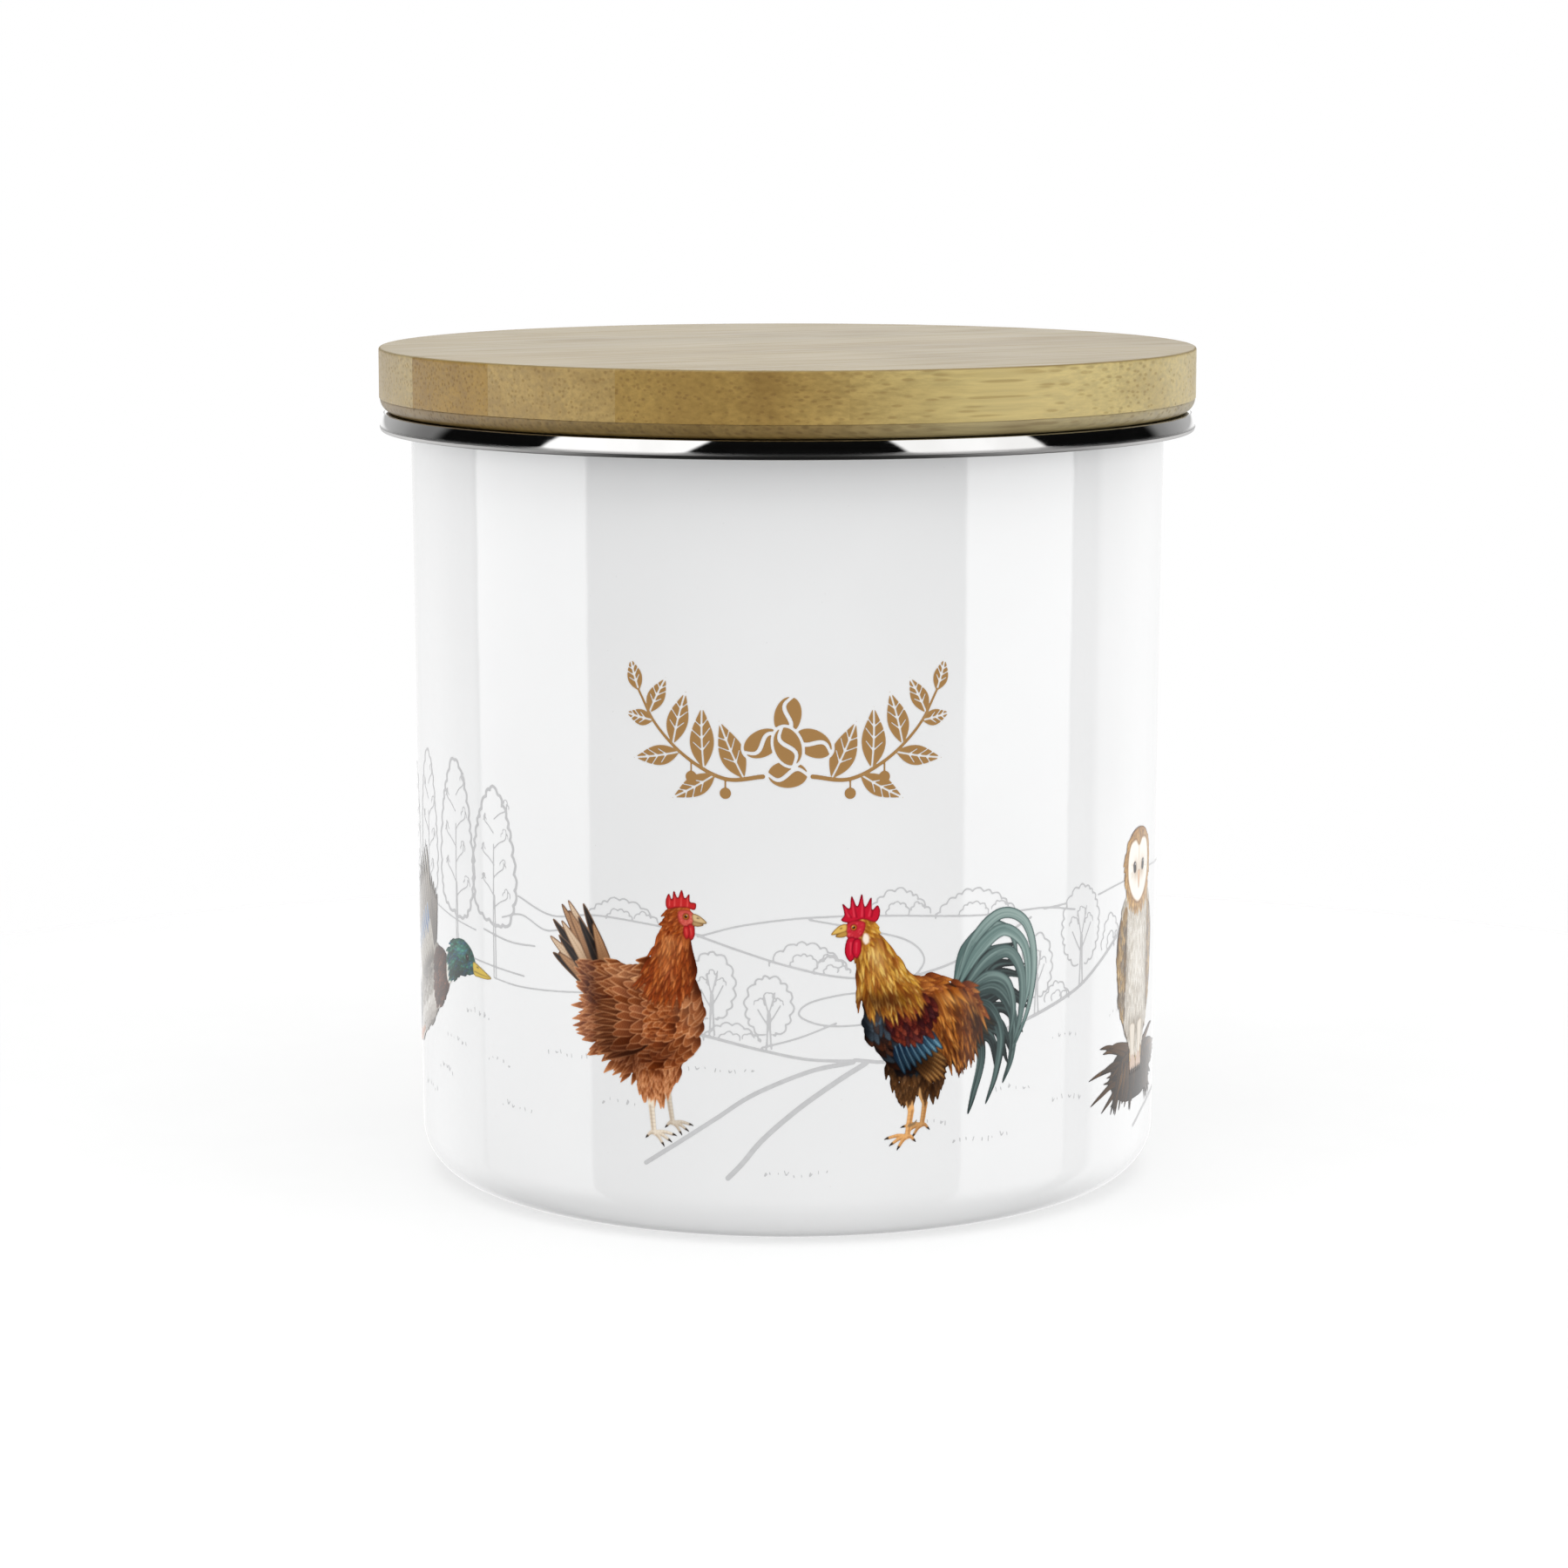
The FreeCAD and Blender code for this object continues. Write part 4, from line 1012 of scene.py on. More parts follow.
    # near wing, raised: flight feathers, the blue bar, coverts
    for i in range(11):
        k = i / 10.0
        cv.feather(-19.6 - 5.4 * k, 0.2 - 2.6 * k, math.radians(96 + 46 * k), 16.0 - 7.2 * k * k, 2.8, (120, 110, 100), (164, 154, 142), edge=(92, 80, 70), edge_w=0.22, shaft=(206, 198, 186), point=0.45, barbs=0.6, bend=0.06)
    for i in range(8):
        k = i / 7.0
        cv.feather(-20.4 - 5.6 * k, -0.6 - 2.8 * k, math.radians(104 + 40 * k), 8.2 - 1.4 * k, 2.2, (38, 66, 120), (66, 110, 170), edge=(238, 236, 230), edge_w=0.26, shaft=(120, 160, 206), point=0.15, barbs=0.6)
    for ln, n, o in ((6.2, 9, 0.0), (4.6, 8, 0.6), (3.2, 7, 1.2)):
        for i in range(n):
            k = i / (n - 1)
            cv.feather(-19.0 - 7.0 * k - o * 0.2, -0.8 - 3.6 * k + o * 0.1, math.radians(104 + 44 * k + cv.rng.normal(0, 3)), ln, 2.0, (138, 128, 116), (184, 176, 164), edge=(224, 218, 208), edge_w=0.2, point=0.15, barbs=0.6)
    cv.tint(cv.blob(-22, -11, 8.0, 2.4, 0.5), (120, 108, 98), 0.5)
    cv.tint(cv.blob(-21.5, -2.6, 5.0, 1.5, 0.5), (90, 78, 70), 0.4)
    # neck ring and green head
    cv.fill(spline([(-11.6, 1.6), (-11.0, -1.6), (-12.2, -3.0), (-13.2, -1.8), (-13.0, 1.4), (-12.4, 2.4)], 6, True), (240, 236, 228), edge=(190, 182, 172), edge_w=0.2)
    head = spline([(-3.9, 1.3), (-5.0, 3.2), (-7.4, 4.3), (-10.0, 3.9), (-12.2, 1.9), (-11.9, -0.8), (-10.8, -1.9), (-8.2, -0.9), (-5.4, -0.5), (-4.0, 0.0)], 8, True)
    cv.fill(head, (26, 92, 78))
    coat(cv, head, flow([(-5, 2, 195), (-8, 3, 190), (-11, 0, 220)]), 0.6, 1.6, 0.7, [((18, 74, 66), (38, 122, 98)), ((24, 96, 88), (64, 156, 124)), ((20, 62, 84), (44, 112, 140)), ((16, 56, 50), (30, 96, 76))], (-3, 1), point=0.7, barbs=0.1, edge=(12, 44, 42), edge_w=0.06)
    cv.lift(cv.blob(-8.2, 2.6, 2.2, 0.8, 0.05), (110, 196, 190), 0.30)
    cv.tint(cv.blob(-8.6, -1.0, 3.6, 0.9, 0.0), (10, 40, 36), 0.45)
    cv.fill(spline([(-4.5, 1.5), (-2.8, 1.1), (-0.8, 0.3), (0.1, -0.2), (-1.0, -0.5), (-3.0, -0.5), (-4.3, -0.3)], 6, True), (208, 178, 66), edge=(136, 108, 40), edge_w=0.2)
    cv.stroke([(-4.2, 0.2), (-2.4, 0.0), (-0.4, -0.15)], 0.06, 0.03, (110, 86, 34), hold=True)
    cv.stroke([(-3.5, 0.9), (-3.0, 0.85)], 0.08, 0.04, (90, 70, 30))
    eye(cv, -6.2, 1.9, 0.42, (60, 34, 20), (14, 40, 36))
    return cv


def owl(seed=41):
    """A pale barn bird, front on, feet at y = 0."""
    cv = Canvas(-10.0, -4.0, 10.0, 37.5, seed)
    # tail and folded wings behind
    for i in range(5):
        cv.feather(-1.4 + 0.7 * i, 8.0, math.radians(262 + 4 * i), 9.4, 2.4, (168, 132, 84), (206, 176, 130), edge=(120, 92, 60), edge_w=0.2, shaft=(110, 84, 56), point=0.4, bar=((138, 108, 74), 2.2))
    for sx in (-1, 1):
        for i in range(9):
            k = i / 8.0
            plume(cv, [(sx * (6.0 - 0.5 * k), 25.0 - 6.0 * k), (sx * (7.6 - 0.4 * k), 18.0 - 5.4 * k), (sx * (6.8 - 1.6 * k), 10.0 - 3.6 * k), (sx * (4.6 - 2.0 * k), 3.6 - 1.6 * k)], 1.0, (138, 112, 84), (196, 172, 138), (92, 72, 54), (110, 88, 64), hairs=4)
    body = spline([(-6.0, 25.4), (-7.0, 19.6), (-6.8, 13.0), (-5.0, 6.8), (-2.4, 3.0), (0, 2.2), (2.4, 3.0), (5.0, 6.8), (6.8, 13.0), (7.0, 19.6), (6.0, 25.4), (0, 27.0)], 8, True)
    cv.fill(body, (214, 206, 194))
    coat(cv, body, flow([(-5, 22, 262), (-3, 12, 268), (0, 4, 270), (3, 12, 272), (5, 22, 278)]), 0.95, 3.2, 1.35,
         [((190, 182, 168), (236, 230, 220), (168, 158, 142)), ((206, 198, 186), (244, 240, 232), (186, 176, 160)), ((172, 162, 146), (222, 214, 202), (146, 134, 116))], (0, 30), point=0.75, barbs=0.4, edge_w=0.10)
    for _ in range(70):
        x, y = cv.rng.uniform(-5.6, 5.6), cv.rng.uniform(5.0, 24.0)
        if abs(x) < 6.6 - abs(y - 17) * 0.22:
            cv.stroke([(x, y), (x + cv.rng.normal(0, 0.1), y - cv.rng.uniform(0.5, 1.2))], 0.05, 0.02, (140, 120, 96), alpha=0.6, wm=0.12, hold=True)
    for sx in (-1, 1):
        coat(cv, [(sx * 4.8, 25.6), (sx * 7.2, 23.0), (sx * 8.0, 17.0), (sx * 7.6, 11.0), (sx * 6.2, 7.4), (sx * 5.6, 13.0), (sx * 5.4, 20.0)][:: sx], flow([(sx * 6, 20, 270 + 2 * sx), (sx * 6.4, 10, 270 - 10 * sx)]), 0.9, 2.6, 1.3,
             [((150, 116, 70), (198, 166, 116), (110, 86, 58)), ((130, 112, 92), (176, 160, 138), (96, 80, 64)), ((172, 134, 82), (214, 184, 134), (124, 96, 62))], (sx * 5, 32), point=0.4, barbs=0.4, edge_w=0.12)
    cv.tint(cv.blob(0.0, 4.4, 4.2, 1.8), (120, 104, 84), 0.45)
    cv.tint(cv.blob(-5.2, 15, 1.0, 8.0), (120, 104, 86), 0.40)
    cv.tint(cv.blob(5.2, 15, 1.0, 8.0), (120, 104, 86), 0.40)
    cv.lift(cv.blob(0.0, 15.5, 2.8, 5.0), (252, 250, 244), 0.40)
    # legs and toes
    for sx in (-1, 1):
        cv.fill(spline([(sx * 0.7, 5.0), (sx * 2.9, 5.2), (sx * 2.5, 1.6), (sx * 1.9, -0.6), (sx * 0.9, -0.5), (sx * 0.8, 2.2)], 6, True), (222, 212, 198), edge=(168, 152, 132), edge_w=0.3)
        for dx in (-0.9, 0.0, 0.9):
            cv.stroke([(sx * 1.4 + dx * 0.3, -0.1), (sx * 1.4 + dx * 0.9, -1.1), (sx * 1.4 + dx * 1.1, -2.2)], 0.42, 0.26, (202, 178, 160), wm=0.46)
            cv.stroke([(sx * 1.4 + dx * 1.1, -2.1), (sx * 1.4 + dx * 1.0, -3.0)], 0.20, 0.03, (60, 50, 44))
    # head
    head = spline([(-5.6, 30.2), (-5.4, 33.2), (-3.4, 35.6), (0, 36.4), (3.4, 35.6), (5.4, 33.2), (5.6, 30.2), (5.0, 26.8), (2.8, 24.4), (0, 23.6), (-2.8, 24.4), (-5.0, 26.8)], 8, True)
    cv.fill(head, (186, 136, 72), edge=(120, 82, 40), edge_w=0.4)
    coat(cv, head, flow([(-4, 34, 235), (4, 34, 305), (-5, 27, 262), (5, 27, 278)]), 0.7, 1.6, 0.8, [((170, 122, 62), (212, 164, 96)), ((150, 110, 64), (196, 152, 94)), ((190, 144, 80), (226, 186, 124))], (0, 37), point=0.5, barbs=0.2, edge=(116, 82, 44), edge_w=0.07)
    face = spline([(0, 33.6), (-1.6, 34.6), (-3.9, 34.0), (-4.9, 31.4), (-4.6, 28.2), (-2.8, 25.6), (0, 24.4), (2.8, 25.6), (4.6, 28.2), (4.9, 31.4), (3.9, 34.0), (1.6, 34.6)], 8, True)
    cv.fill(face, (246, 241, 232), edge=(196, 170, 136), edge_w=0.5)
    cv.stroke(np.vstack([face, face[:1]]), 0.10, 0.10, (140, 92, 44), alpha=0.9)
    for sx in (-1, 1):
        for j in range(16):
            a = math.radians(cv.rng.uniform(-70, 70))
            q = np.array([sx * 2.0, 30.0]) + np.array([sx * math.cos(a), math.sin(a)]) * cv.rng.uniform(0.9, 1.5)
            cv.stroke([q, q + np.array([sx * math.cos(a), math.sin(a)]) * cv.rng.uniform(0.5, 1.2)], 0.03, 0.02, (206, 192, 172), alpha=0.8, hold=True)
        cv.tint(cv.blob(sx * 1.5, 29.8, 1.0, 1.5), (150, 116, 84), 0.5)
        cv.stroke([(sx * 2.0, 30.5), (sx * 1.9, 29.9)], 0.62, 0.60, (34, 24, 20), soft=0.08)
        cv.stroke([(sx * 2.0 + 0.2, 30.7), (sx * 2.0 + 0.22, 30.7)], 0.15, 0.15, (255, 255, 255))
    cv.stroke([(0, 33.2), (0, 30.8), (0, 29.0)], 0.20, 0.34, (222, 206, 184), alpha=0.9)
    cv.fill(spline([(-0.55, 29.4), (0.55, 29.4), (0.45, 28.0), (0.0, 26.6), (-0.45, 28.0)], 6, True), (222, 188, 158), edge=(160, 116, 84), edge_w=0.22)
    return cv


def tussock(seed=43):
    """A shaggy dark clump of dry grass to stand on."""
    cv = Canvas(-17.0, -8.0, 17.0, 6.5, seed)
    cv.fill(spline([(-8.0, 2.6), (-3.0, 3.0), (3.0, 2.8), (8.0, 2.2), (9.0, -1.6), (5.0, -4.2), (0.0, -4.6), (-5.0, -4.2), (-9.0, -1.6)], 6, True), (58, 42, 28))
    for i in range(46):
        k = cv.rng.uniform(0, 1)
        s = -1 if k < 0.5 else 1
        x0, y0 = s * cv.rng.uniform(-2.5, 4.5), cv.rng.uniform(-3.4, 2.4)
        ln = cv.rng.uniform(7.0, 12.5)
        dy = cv.rng.uniform(-3.0, 4.0)
        tone = cv.rng.uniform(0, 1)
        c0 = mix((46, 32, 22), (104, 70, 36), tone)
        plume(cv, [(x0, y0), (x0 + s * ln * 0.4, y0 + dy * 0.25 + 0.6), (x0 + s * ln * 0.75, y0 + dy * 0.7), (x0 + s * ln, y0 + dy * 0.95 - 0.8)], cv.rng.uniform(0.7, 1.2), c0, mix(c0, (150, 108, 58), 0.6), (36, 26, 20), mix(c0, (130, 94, 52), 0.4), hairs=3, tip=0.8)
    for i in range(34):
        x0 = cv.rng.uniform(-6.5, 6.5)
        c0 = mix((52, 38, 26), (118, 82, 44), cv.rng.uniform(0, 1))
        plume(cv, [(x0, cv.rng.uniform(0, 2.6)), (x0 * 1.3, -2.2), (x0 * 1.5 + cv.rng.normal(0, 0.5), cv.rng.uniform(-6.6, -4.0))], 0.8, c0, mix(c0, (158, 116, 64), 0.6), (36, 26, 20), c0, hairs=3, tip=0.8)
    cv.tint(cv.blob(0, -3.0, 9, 2.0), (60, 44, 32), 0.4)
    return cv


def goose(seed=51):
    """A grey goose facing right, feet at y = 0."""
    cv = Canvas(-17.0, -2.5, 14.5, 34.5, seed)
    leg, dark = (222, 140, 84), (158, 92, 50)
    shank(cv, (2.2, 8.2), (2.6, 5.0), (3.0, 1.8), 1, np.array(leg) * 0.9, dark, w=0.6, toe=3.0, back=False, nails=(90, 70, 60))
    for i in range(7):
        k = i / 6.0
        cv.feather(-11.4, 13.4 + 1.0 * k, math.radians(196 - 22 * k), 5.4, 2.4, (96, 88, 80), (150, 142, 132), edge=(238, 236, 230), edge_w=0.34, shaft=(70, 62, 56), point=0.3)
    body = spline([(7.6, 17.6), (9.0, 13.6), (7.6, 9.6), (3.0, 7.2), (-3.0, 7.6), (-8.6, 10.0), (-12.6, 13.4), (-11.0, 16.4), (-4.0, 18.6), (2.6, 19.8), (6.0, 20.6)], 8, True)
    cv.fill(body, (150, 140, 128))
    pal = [((140, 130, 118), (178, 168, 154), (218, 210, 198)), ((126, 116, 106), (164, 154, 142), (206, 198, 186)), ((154, 144, 132), (190, 182, 168), (226, 220, 208))]
    coat(cv, body, flow([(8, 16, 215), (6, 10, 195), (-2, 9, 180), (-10, 13, 172), (0, 18, 188)]), 1.4, 3.2, 2.1, pal, (9, 20), point=0.15, barbs=0.6, edge_w=0.22)
    vent = spline([(-12.4, 13.0), (-8.6, 9.8), (-4.0, 8.0), (-5.6, 11.0), (-9.8, 13.6)], 6, True)
    coat(cv, vent, flow([(-8, 11, 172)]), 1.0, 2.4, 1.4, [((214, 210, 204), (246, 244, 240), (190, 184, 176))], (0, 12), point=0.4, barbs=0.3, edge_w=0.12)
    for i in range(8):
        k = i / 7.0
        cv.feather(0.6 - 1.2 * k, 11.2 + 4.6 * k, math.radians(184 - 6 * k), 12.0 - abs(i - 3) * 0.5, 2.4, (94, 86, 78), (132, 122, 112), edge=(216, 208, 196), edge_w=0.22, shaft=(200, 190, 176), point=0.35)
    for ln, n, o in ((5.0, 7, 0.0), (4.2, 7, 2.4), (3.4, 6, 4.4)):
        for i in range(n):
            k = i / (n - 1)
            cv.feather(0.4 + o, 10.8 + 6.4 * k, math.radians(188 - 14 * k + cv.rng.normal(0, 2)), ln, 2.2, (122, 112, 102), (158, 148, 136), edge=(226, 220, 208), edge_w=0.24, point=0.12)
    cv.tint(cv.blob(-1.0, 8.2, 8.0, 1.6), (110, 100, 90), 0.5)
    cv.lift(cv.blob(4.0, 18.4, 4.0, 1.2, 0.2), (236, 230, 220), 0.25)
    neck = spline([(3.2, 19.4), (8.2, 17.2), (9.4, 20.4), (8.8, 24.6), (9.2, 28.4), (8.2, 31.4), (6.0, 31.6), (5.4, 28.6), (5.4, 24.0), (4.6, 21.2)], 8, True)
    cv.fill(neck, (158, 146, 132))
    coat(cv, neck, flow([(7, 31, 262), (7, 25, 268), (5, 20, 230), (8, 18, 255)]), 0.8, 2.4, 0.9, [((140, 128, 114), (182, 170, 154)), ((156, 144, 130), (198, 186, 170))], (8, 34), point=0.6, barbs=0.3, edge=(112, 100, 88), edge_w=0.08)
    head = spline([(5.4, 30.0), (5.8, 32.4), (7.6, 33.4), (9.6, 32.8), (10.6, 31.4), (10.0, 30.0), (8.2, 29.2)], 8, True)
    cv.fill(head, (160, 148, 134))
    coat(cv, head, flow([(8, 32, 200), (6.4, 30.6, 255)]), 0.5, 0.95, 0.5, [((144, 132, 118), (178, 166, 150))], (11, 31), point=0.4, barbs=0.2, edge=(126, 114, 102), edge_w=0.05)
    cv.fill(spline([(9.9, 32.3), (12.2, 31.6), (13.6, 30.6), (12.4, 30.3), (10.2, 30.2)], 6, True), (226, 138, 66), edge=(160, 88, 40), edge_w=0.22)
    cv.stroke([(10.3, 31.0), (12.9, 30.7)], 0.06, 0.04, (150, 82, 38), hold=True)
    eye(cv, 8.9, 32.0, 0.40, (70, 44, 26), (206, 130, 70))
    shank(cv, (-0.6, 7.8), (-0.4, 4.6), (0.0, 0.9), 1, leg, dark, w=0.66, toe=3.4, back=False, nails=(90, 70, 60))
    return cv


def chick(seed, dark=0.0):
    cv = Canvas(-6.5, -1.8, 6.5, 11.5, seed)
    shank(cv, (0.9, 3.0), (1.0, 1.9), (1.2, 0.5), 1, (224, 158, 96), (150, 96, 56), w=0.28, toe=1.4)
    base = [mix((226, 186, 92), (150, 110, 70), dark), mix((246, 216, 132), (196, 156, 110), dark)]
    body = spline([(2.6, 6.2), (3.2, 4.4), (2.0, 2.6), (-0.6, 2.0), (-3.4, 3.0), (-4.8, 5.2), (-3.0, 6.2), (0.0, 6.6)], 8, True)
    cv.fill(body, base[0])
    coat(cv, body, flow([(2, 5, 215), (0, 3, 200), (-4, 5, 170)]), 0.55, 1.6, 0.5, [(base[0], base[1]), (mix(base[0], (190, 140, 60), 0.4), base[1])], (4, 7), point=0.9, barbs=0.1, edge=mix(base[0], (150, 104, 50), 0.5), edge_w=0.05)
    for i in range(5):
        cv.feather(0.8, 4.4 + 0.35 * i, math.radians(196 - 8 * i), 3.2, 0.9, mix(base[0], (180, 130, 60), 0.35), base[1], edge=mix(base[0], (150, 104, 50), 0.6), edge_w=0.08, point=0.4, barbs=0.3)
    head = spline([(0.8, 7.0), (1.0, 9.0), (2.6, 10.0), (4.2, 9.2), (4.5, 7.6), (3.6, 6.0), (2.0, 5.8)], 8, True)
    cv.fill(head, base[0])
    coat(cv, head, flow([(2.6, 8, 215)]), 0.5, 1.2, 0.45, [(base[0], base[1])], (5, 8.5), point=0.9, barbs=0.1, edge=mix(base[0], (150, 104, 50), 0.5), edge_w=0.05)
    cv.fill(spline([(4.3, 8.7), (5.7, 8.0), (4.4, 7.7)], 5, True), (222, 150, 84), edge=(160, 98, 50), edge_w=0.15)
    cv.tint(cv.blob(-1.0, 2.6, 3.4, 0.9), (190, 140, 70), 0.5)
    eye(cv, 3.2, 8.4, 0.26, (40, 26, 18), (120, 80, 40))
    shank(cv, (-0.3, 2.8), (-0.3, 1.6), (-0.1, 0.1), 1, (232, 168, 104), (150, 96, 56), w=0.30, toe=1.5)
    return cv


def sprigs(seed=3):
    """Two coffee sprigs that meet at a cluster of beans."""
    cv = Canvas(-23.5, -11.0, 23.5, 11.5, seed, 16.0)
    ink, edge = (166, 127, 79), (190, 156, 112)

    def leaf(x, y, ang, ln, wd, bend=0.08):
        t = np.linspace(0, 1, 22)
        half = wd * np.sin(np.pi * t ** 0.82) ** 1.15
        ca, sa = math.cos(ang), math.sin(ang)
        mid = bend * ln * t * t
        for side in (1, -1):
            u = np.concatenate([t * ln, t[::-1] * ln])
            v = np.concatenate([mid + side * half, (mid + side * 0.13)[::-1]])
            cv.fill(np.stack([x + u * ca - v * sa, y + u * sa + v * ca], 1), ink, soft=0.05, edge=edge, edge_w=0.10)
        m = np.stack([x + t * ln * ca - mid * sa, y + t * ln * sa + mid * ca], 1)
        for k in (6, 10, 14):
            for side in (1, -1):
                q = m[k] + np.array([math.cos(ang + side * 0.75), math.sin(ang + side * 0.75)]) * half[k] * 1.15
                cv.stroke([m[k], q], 0.09, 0.07, ink, erase=True, soft=0.04)

    for sx in (-1, 1):
        stem = spline([(sx * 3.4, -5.2), (sx * 8.6, -5.6), (sx * 14.0, -2.8), (sx * 18.4, 1.6), (sx * 21.0, 6.4)], 10)
        cv.stroke(stem, 0.30, 0.14, ink)
        for (px, py), a, ln, wd in (((6.0, -5.5), 62, 8.6, 1.75), ((10.0, -5.0), -34, 7.0, 1.45), ((11.6, -4.2), 84, 8.6, 1.7), ((15.0, -2.0), -14, 6.8, 1.4),
                                    ((16.0, -1.0), 100, 7.6, 1.5), ((18.8, 2.2), 8, 4.2, 1.1), ((19.4, 3.2), 112, 5.6, 1.25), ((20.9, 6.2), 70, 4.6, 1.1)):
            ang = math.radians(a if sx > 0 else 180 - a)
            leaf(sx * px, py, ang, ln, wd, 0.08 * sx)
        for px, py in ((8.6, -7.6), (13.4, -5.4)):
            cv.stroke([(sx * px, py + 1.9), (sx * px, py)], 0.10, 0.10, ink)
            cv.stroke([(sx * px, py), (sx * px + 0.01, py)], 0.78, 0.78, ink, soft=0.05)

    def bean(x, y, ang, a=2.7, b=1.85):
        t = np.linspace(0, 2 * np.pi, 36, endpoint=False)
        ca, sa = math.cos(ang), math.sin(ang)
        u, v = a * np.cos(t), b * np.sin(t)
        halo = np.stack([x + u * 1.16 * ca - v * 1.22 * sa, y + u * 1.16 * sa + v * 1.22 * ca], 1)
        m = cv.mask(halo, 0.05)
        cv.a *= 1 - m
        cv.fill(np.stack([x + u * ca - v * sa, y + u * sa + v * ca], 1), ink, soft=0.05, edge=edge, edge_w=0.10)
        w = np.linspace(-1, 1, 15)
        u, v = w * a * 0.97, 0.42 * b * np.sin(w * np.pi)
        cv.stroke(np.stack([x + u * ca - v * sa, y + u * sa + v * ca], 1), 0.20, 0.20, ink, wm=0.30, erase=True, soft=0.05)

    for x, y, a in ((0.0, 3.2, 1.35), (-3.5, -0.6, 0.5), (3.5, -0.6, 2.64), (0.0, -4.9, 0.0), (0.0, -1.0, 1.9)):
        bean(x, y, a)
    return cv


# ---------------------------------------------------------------- the cup, its coats and the rim
ENAMEL_OUT = enamel_material("enamel_white_outside", (0.865, 0.868, 0.87), 0.000035)
ENAMEL_IN = enamel_material("enamel_white_inside", (0.82, 0.82, 0.815), 0.00005)
STAINLESS = steel_material("stainless_polished", True)
SHEET = steel_material("sheet_steel_pickled", False)
SILICONE = silicone_material()

CUP = [(0.0, RECESS_Z), (RECESS_R0, RECESS_Z), (RECESS_R1, 0.0), (BASE_R, 0.0), (MOUTH_R, FLANGE_Z), (FLANGE_R, FLANGE_Z)]
CUP_RADII = [RECESS_FILLET, RECESS_FILLET, CORNER_R, NECK_FILLET]


def cup_profile(d0, d1):
    p0, r0 = offset_path(CUP, CUP_RADII, d0)
    p1, r1 = offset_path(CUP, CUP_RADII, d1)
    a = rounded(p0, r0, arc=14, step=3.0)
    b = rounded(p1, r1, arc=14, step=3.0)
    # the coat's cut end is drawn round, as fused glass is
    (xa, za), (xb, zb) = a[-1], b[-1]
    end = [(xa + (xb - xa) * t + 0.0, za + (zb - za) * t) for t in (0.5,)]
    return a + end + b[::-1]


outer = outward(lathe("enamel_coat_outside", cup_profile(0.0, ENAMEL_T), 288, False, [ENAMEL_OUT]))
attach(outer, "canister")
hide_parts("enamel_outer")

inner = outward(lathe("enamel_coat_inside", cup_profile(ENAMEL_T + STEEL_T, WALL_T), 288, False, [ENAMEL_IN]))
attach(inner, "canister")
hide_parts("enamel_inner")

shell = frame["nodes"]["steel_shell"]
shell.data.materials.clear()
shell.data.materials.append(SHEET)


def rim_profile():
    """A rolled band: flat under the lid, a full round outside, hemmed under the flange."""
    (m_in, r_in), (m_out, r_out) = offset_path(CUP[3:], [NECK_FILLET], WALL_T), offset_path(CUP[3:], [NECK_FILLET], WALL_T + RIM_T)

    def on(path, z):
        (r0, z0), (r1, z1) = path[0], path[1]
        return r0 + (r1 - r0) * (z - z0) / (z1 - z0)

    end = 108.90
    top = RIM_TOP_Z
    high = top - 110.86
    roll = [(59.97 - 0.17 * (z - 110.86) - (0.62 - 0.17 * high) * ((z - 110.86) / high) ** 2, z) for z in np.linspace(110.86, top - 0.10, 14)]
    a = rounded([(on(m_in, end), end), m_in[1], (58.80, top - RIM_T), (59.30, 112.0), (59.42, 110.80), (57.72, 110.78), (57.70, 110.33), (59.80, 110.33), roll[0]],
                [0, r_in[1], 0.30, 0.50, 0.20, 0.05, 0.12, 0.24, 0], arc=8, step=1.2)
    b = rounded([roll[-1], (59.22, top), m_out[1], (on(m_out, end), end)], [0, 0.14, r_out[1], 0], arc=8, step=1.2)
    return a[:-1] + roll[:-1] + b


rim = crease(outward(lathe("rim_band_rolled", rim_profile(), 360, True, [STAINLESS])), 22)
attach(rim, "canister")
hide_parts("rim_band")


# ---------------------------------------------------------------- the lid
def seal_profile():
    r0, z0, z1 = GROOVE_R + 0.05, GROOVE_Z0 + 0.05, GROOVE_Z1 - 0.05
    rb, rl = 52.10, 53.82
    pts = [
        (r0 + 0.4, z0), (rb - 0.25, z0), (rb, z0 + 0.35), (rl, z0 + 0.95), (rl, z0 + 1.30), (rb, z0 + 1.05), (rb, z0 + 1.65),
        (rl, z0 + 2.25), (rl, z0 + 2.60), (rb, z0 + 2.35), (rb - 0.25, z1), (r0, z1), (r0, z0), (r0 + 0.4, z0),
    ]
    rad = [0, 0.10, 0.15, 0.16, 0.16, 0.2, 0.2, 0.16, 0.16, 0.12, 0.10, 0.15, 0.15, 0]
    p = rounded(pts, rad, arc=5, step=0.6)
    return p[:-1]


seal = outward(lathe("seal_ring_lipped", seal_profile(), 288, True, [SILICONE]))
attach(seal, "seal")
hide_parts("seal_ring")


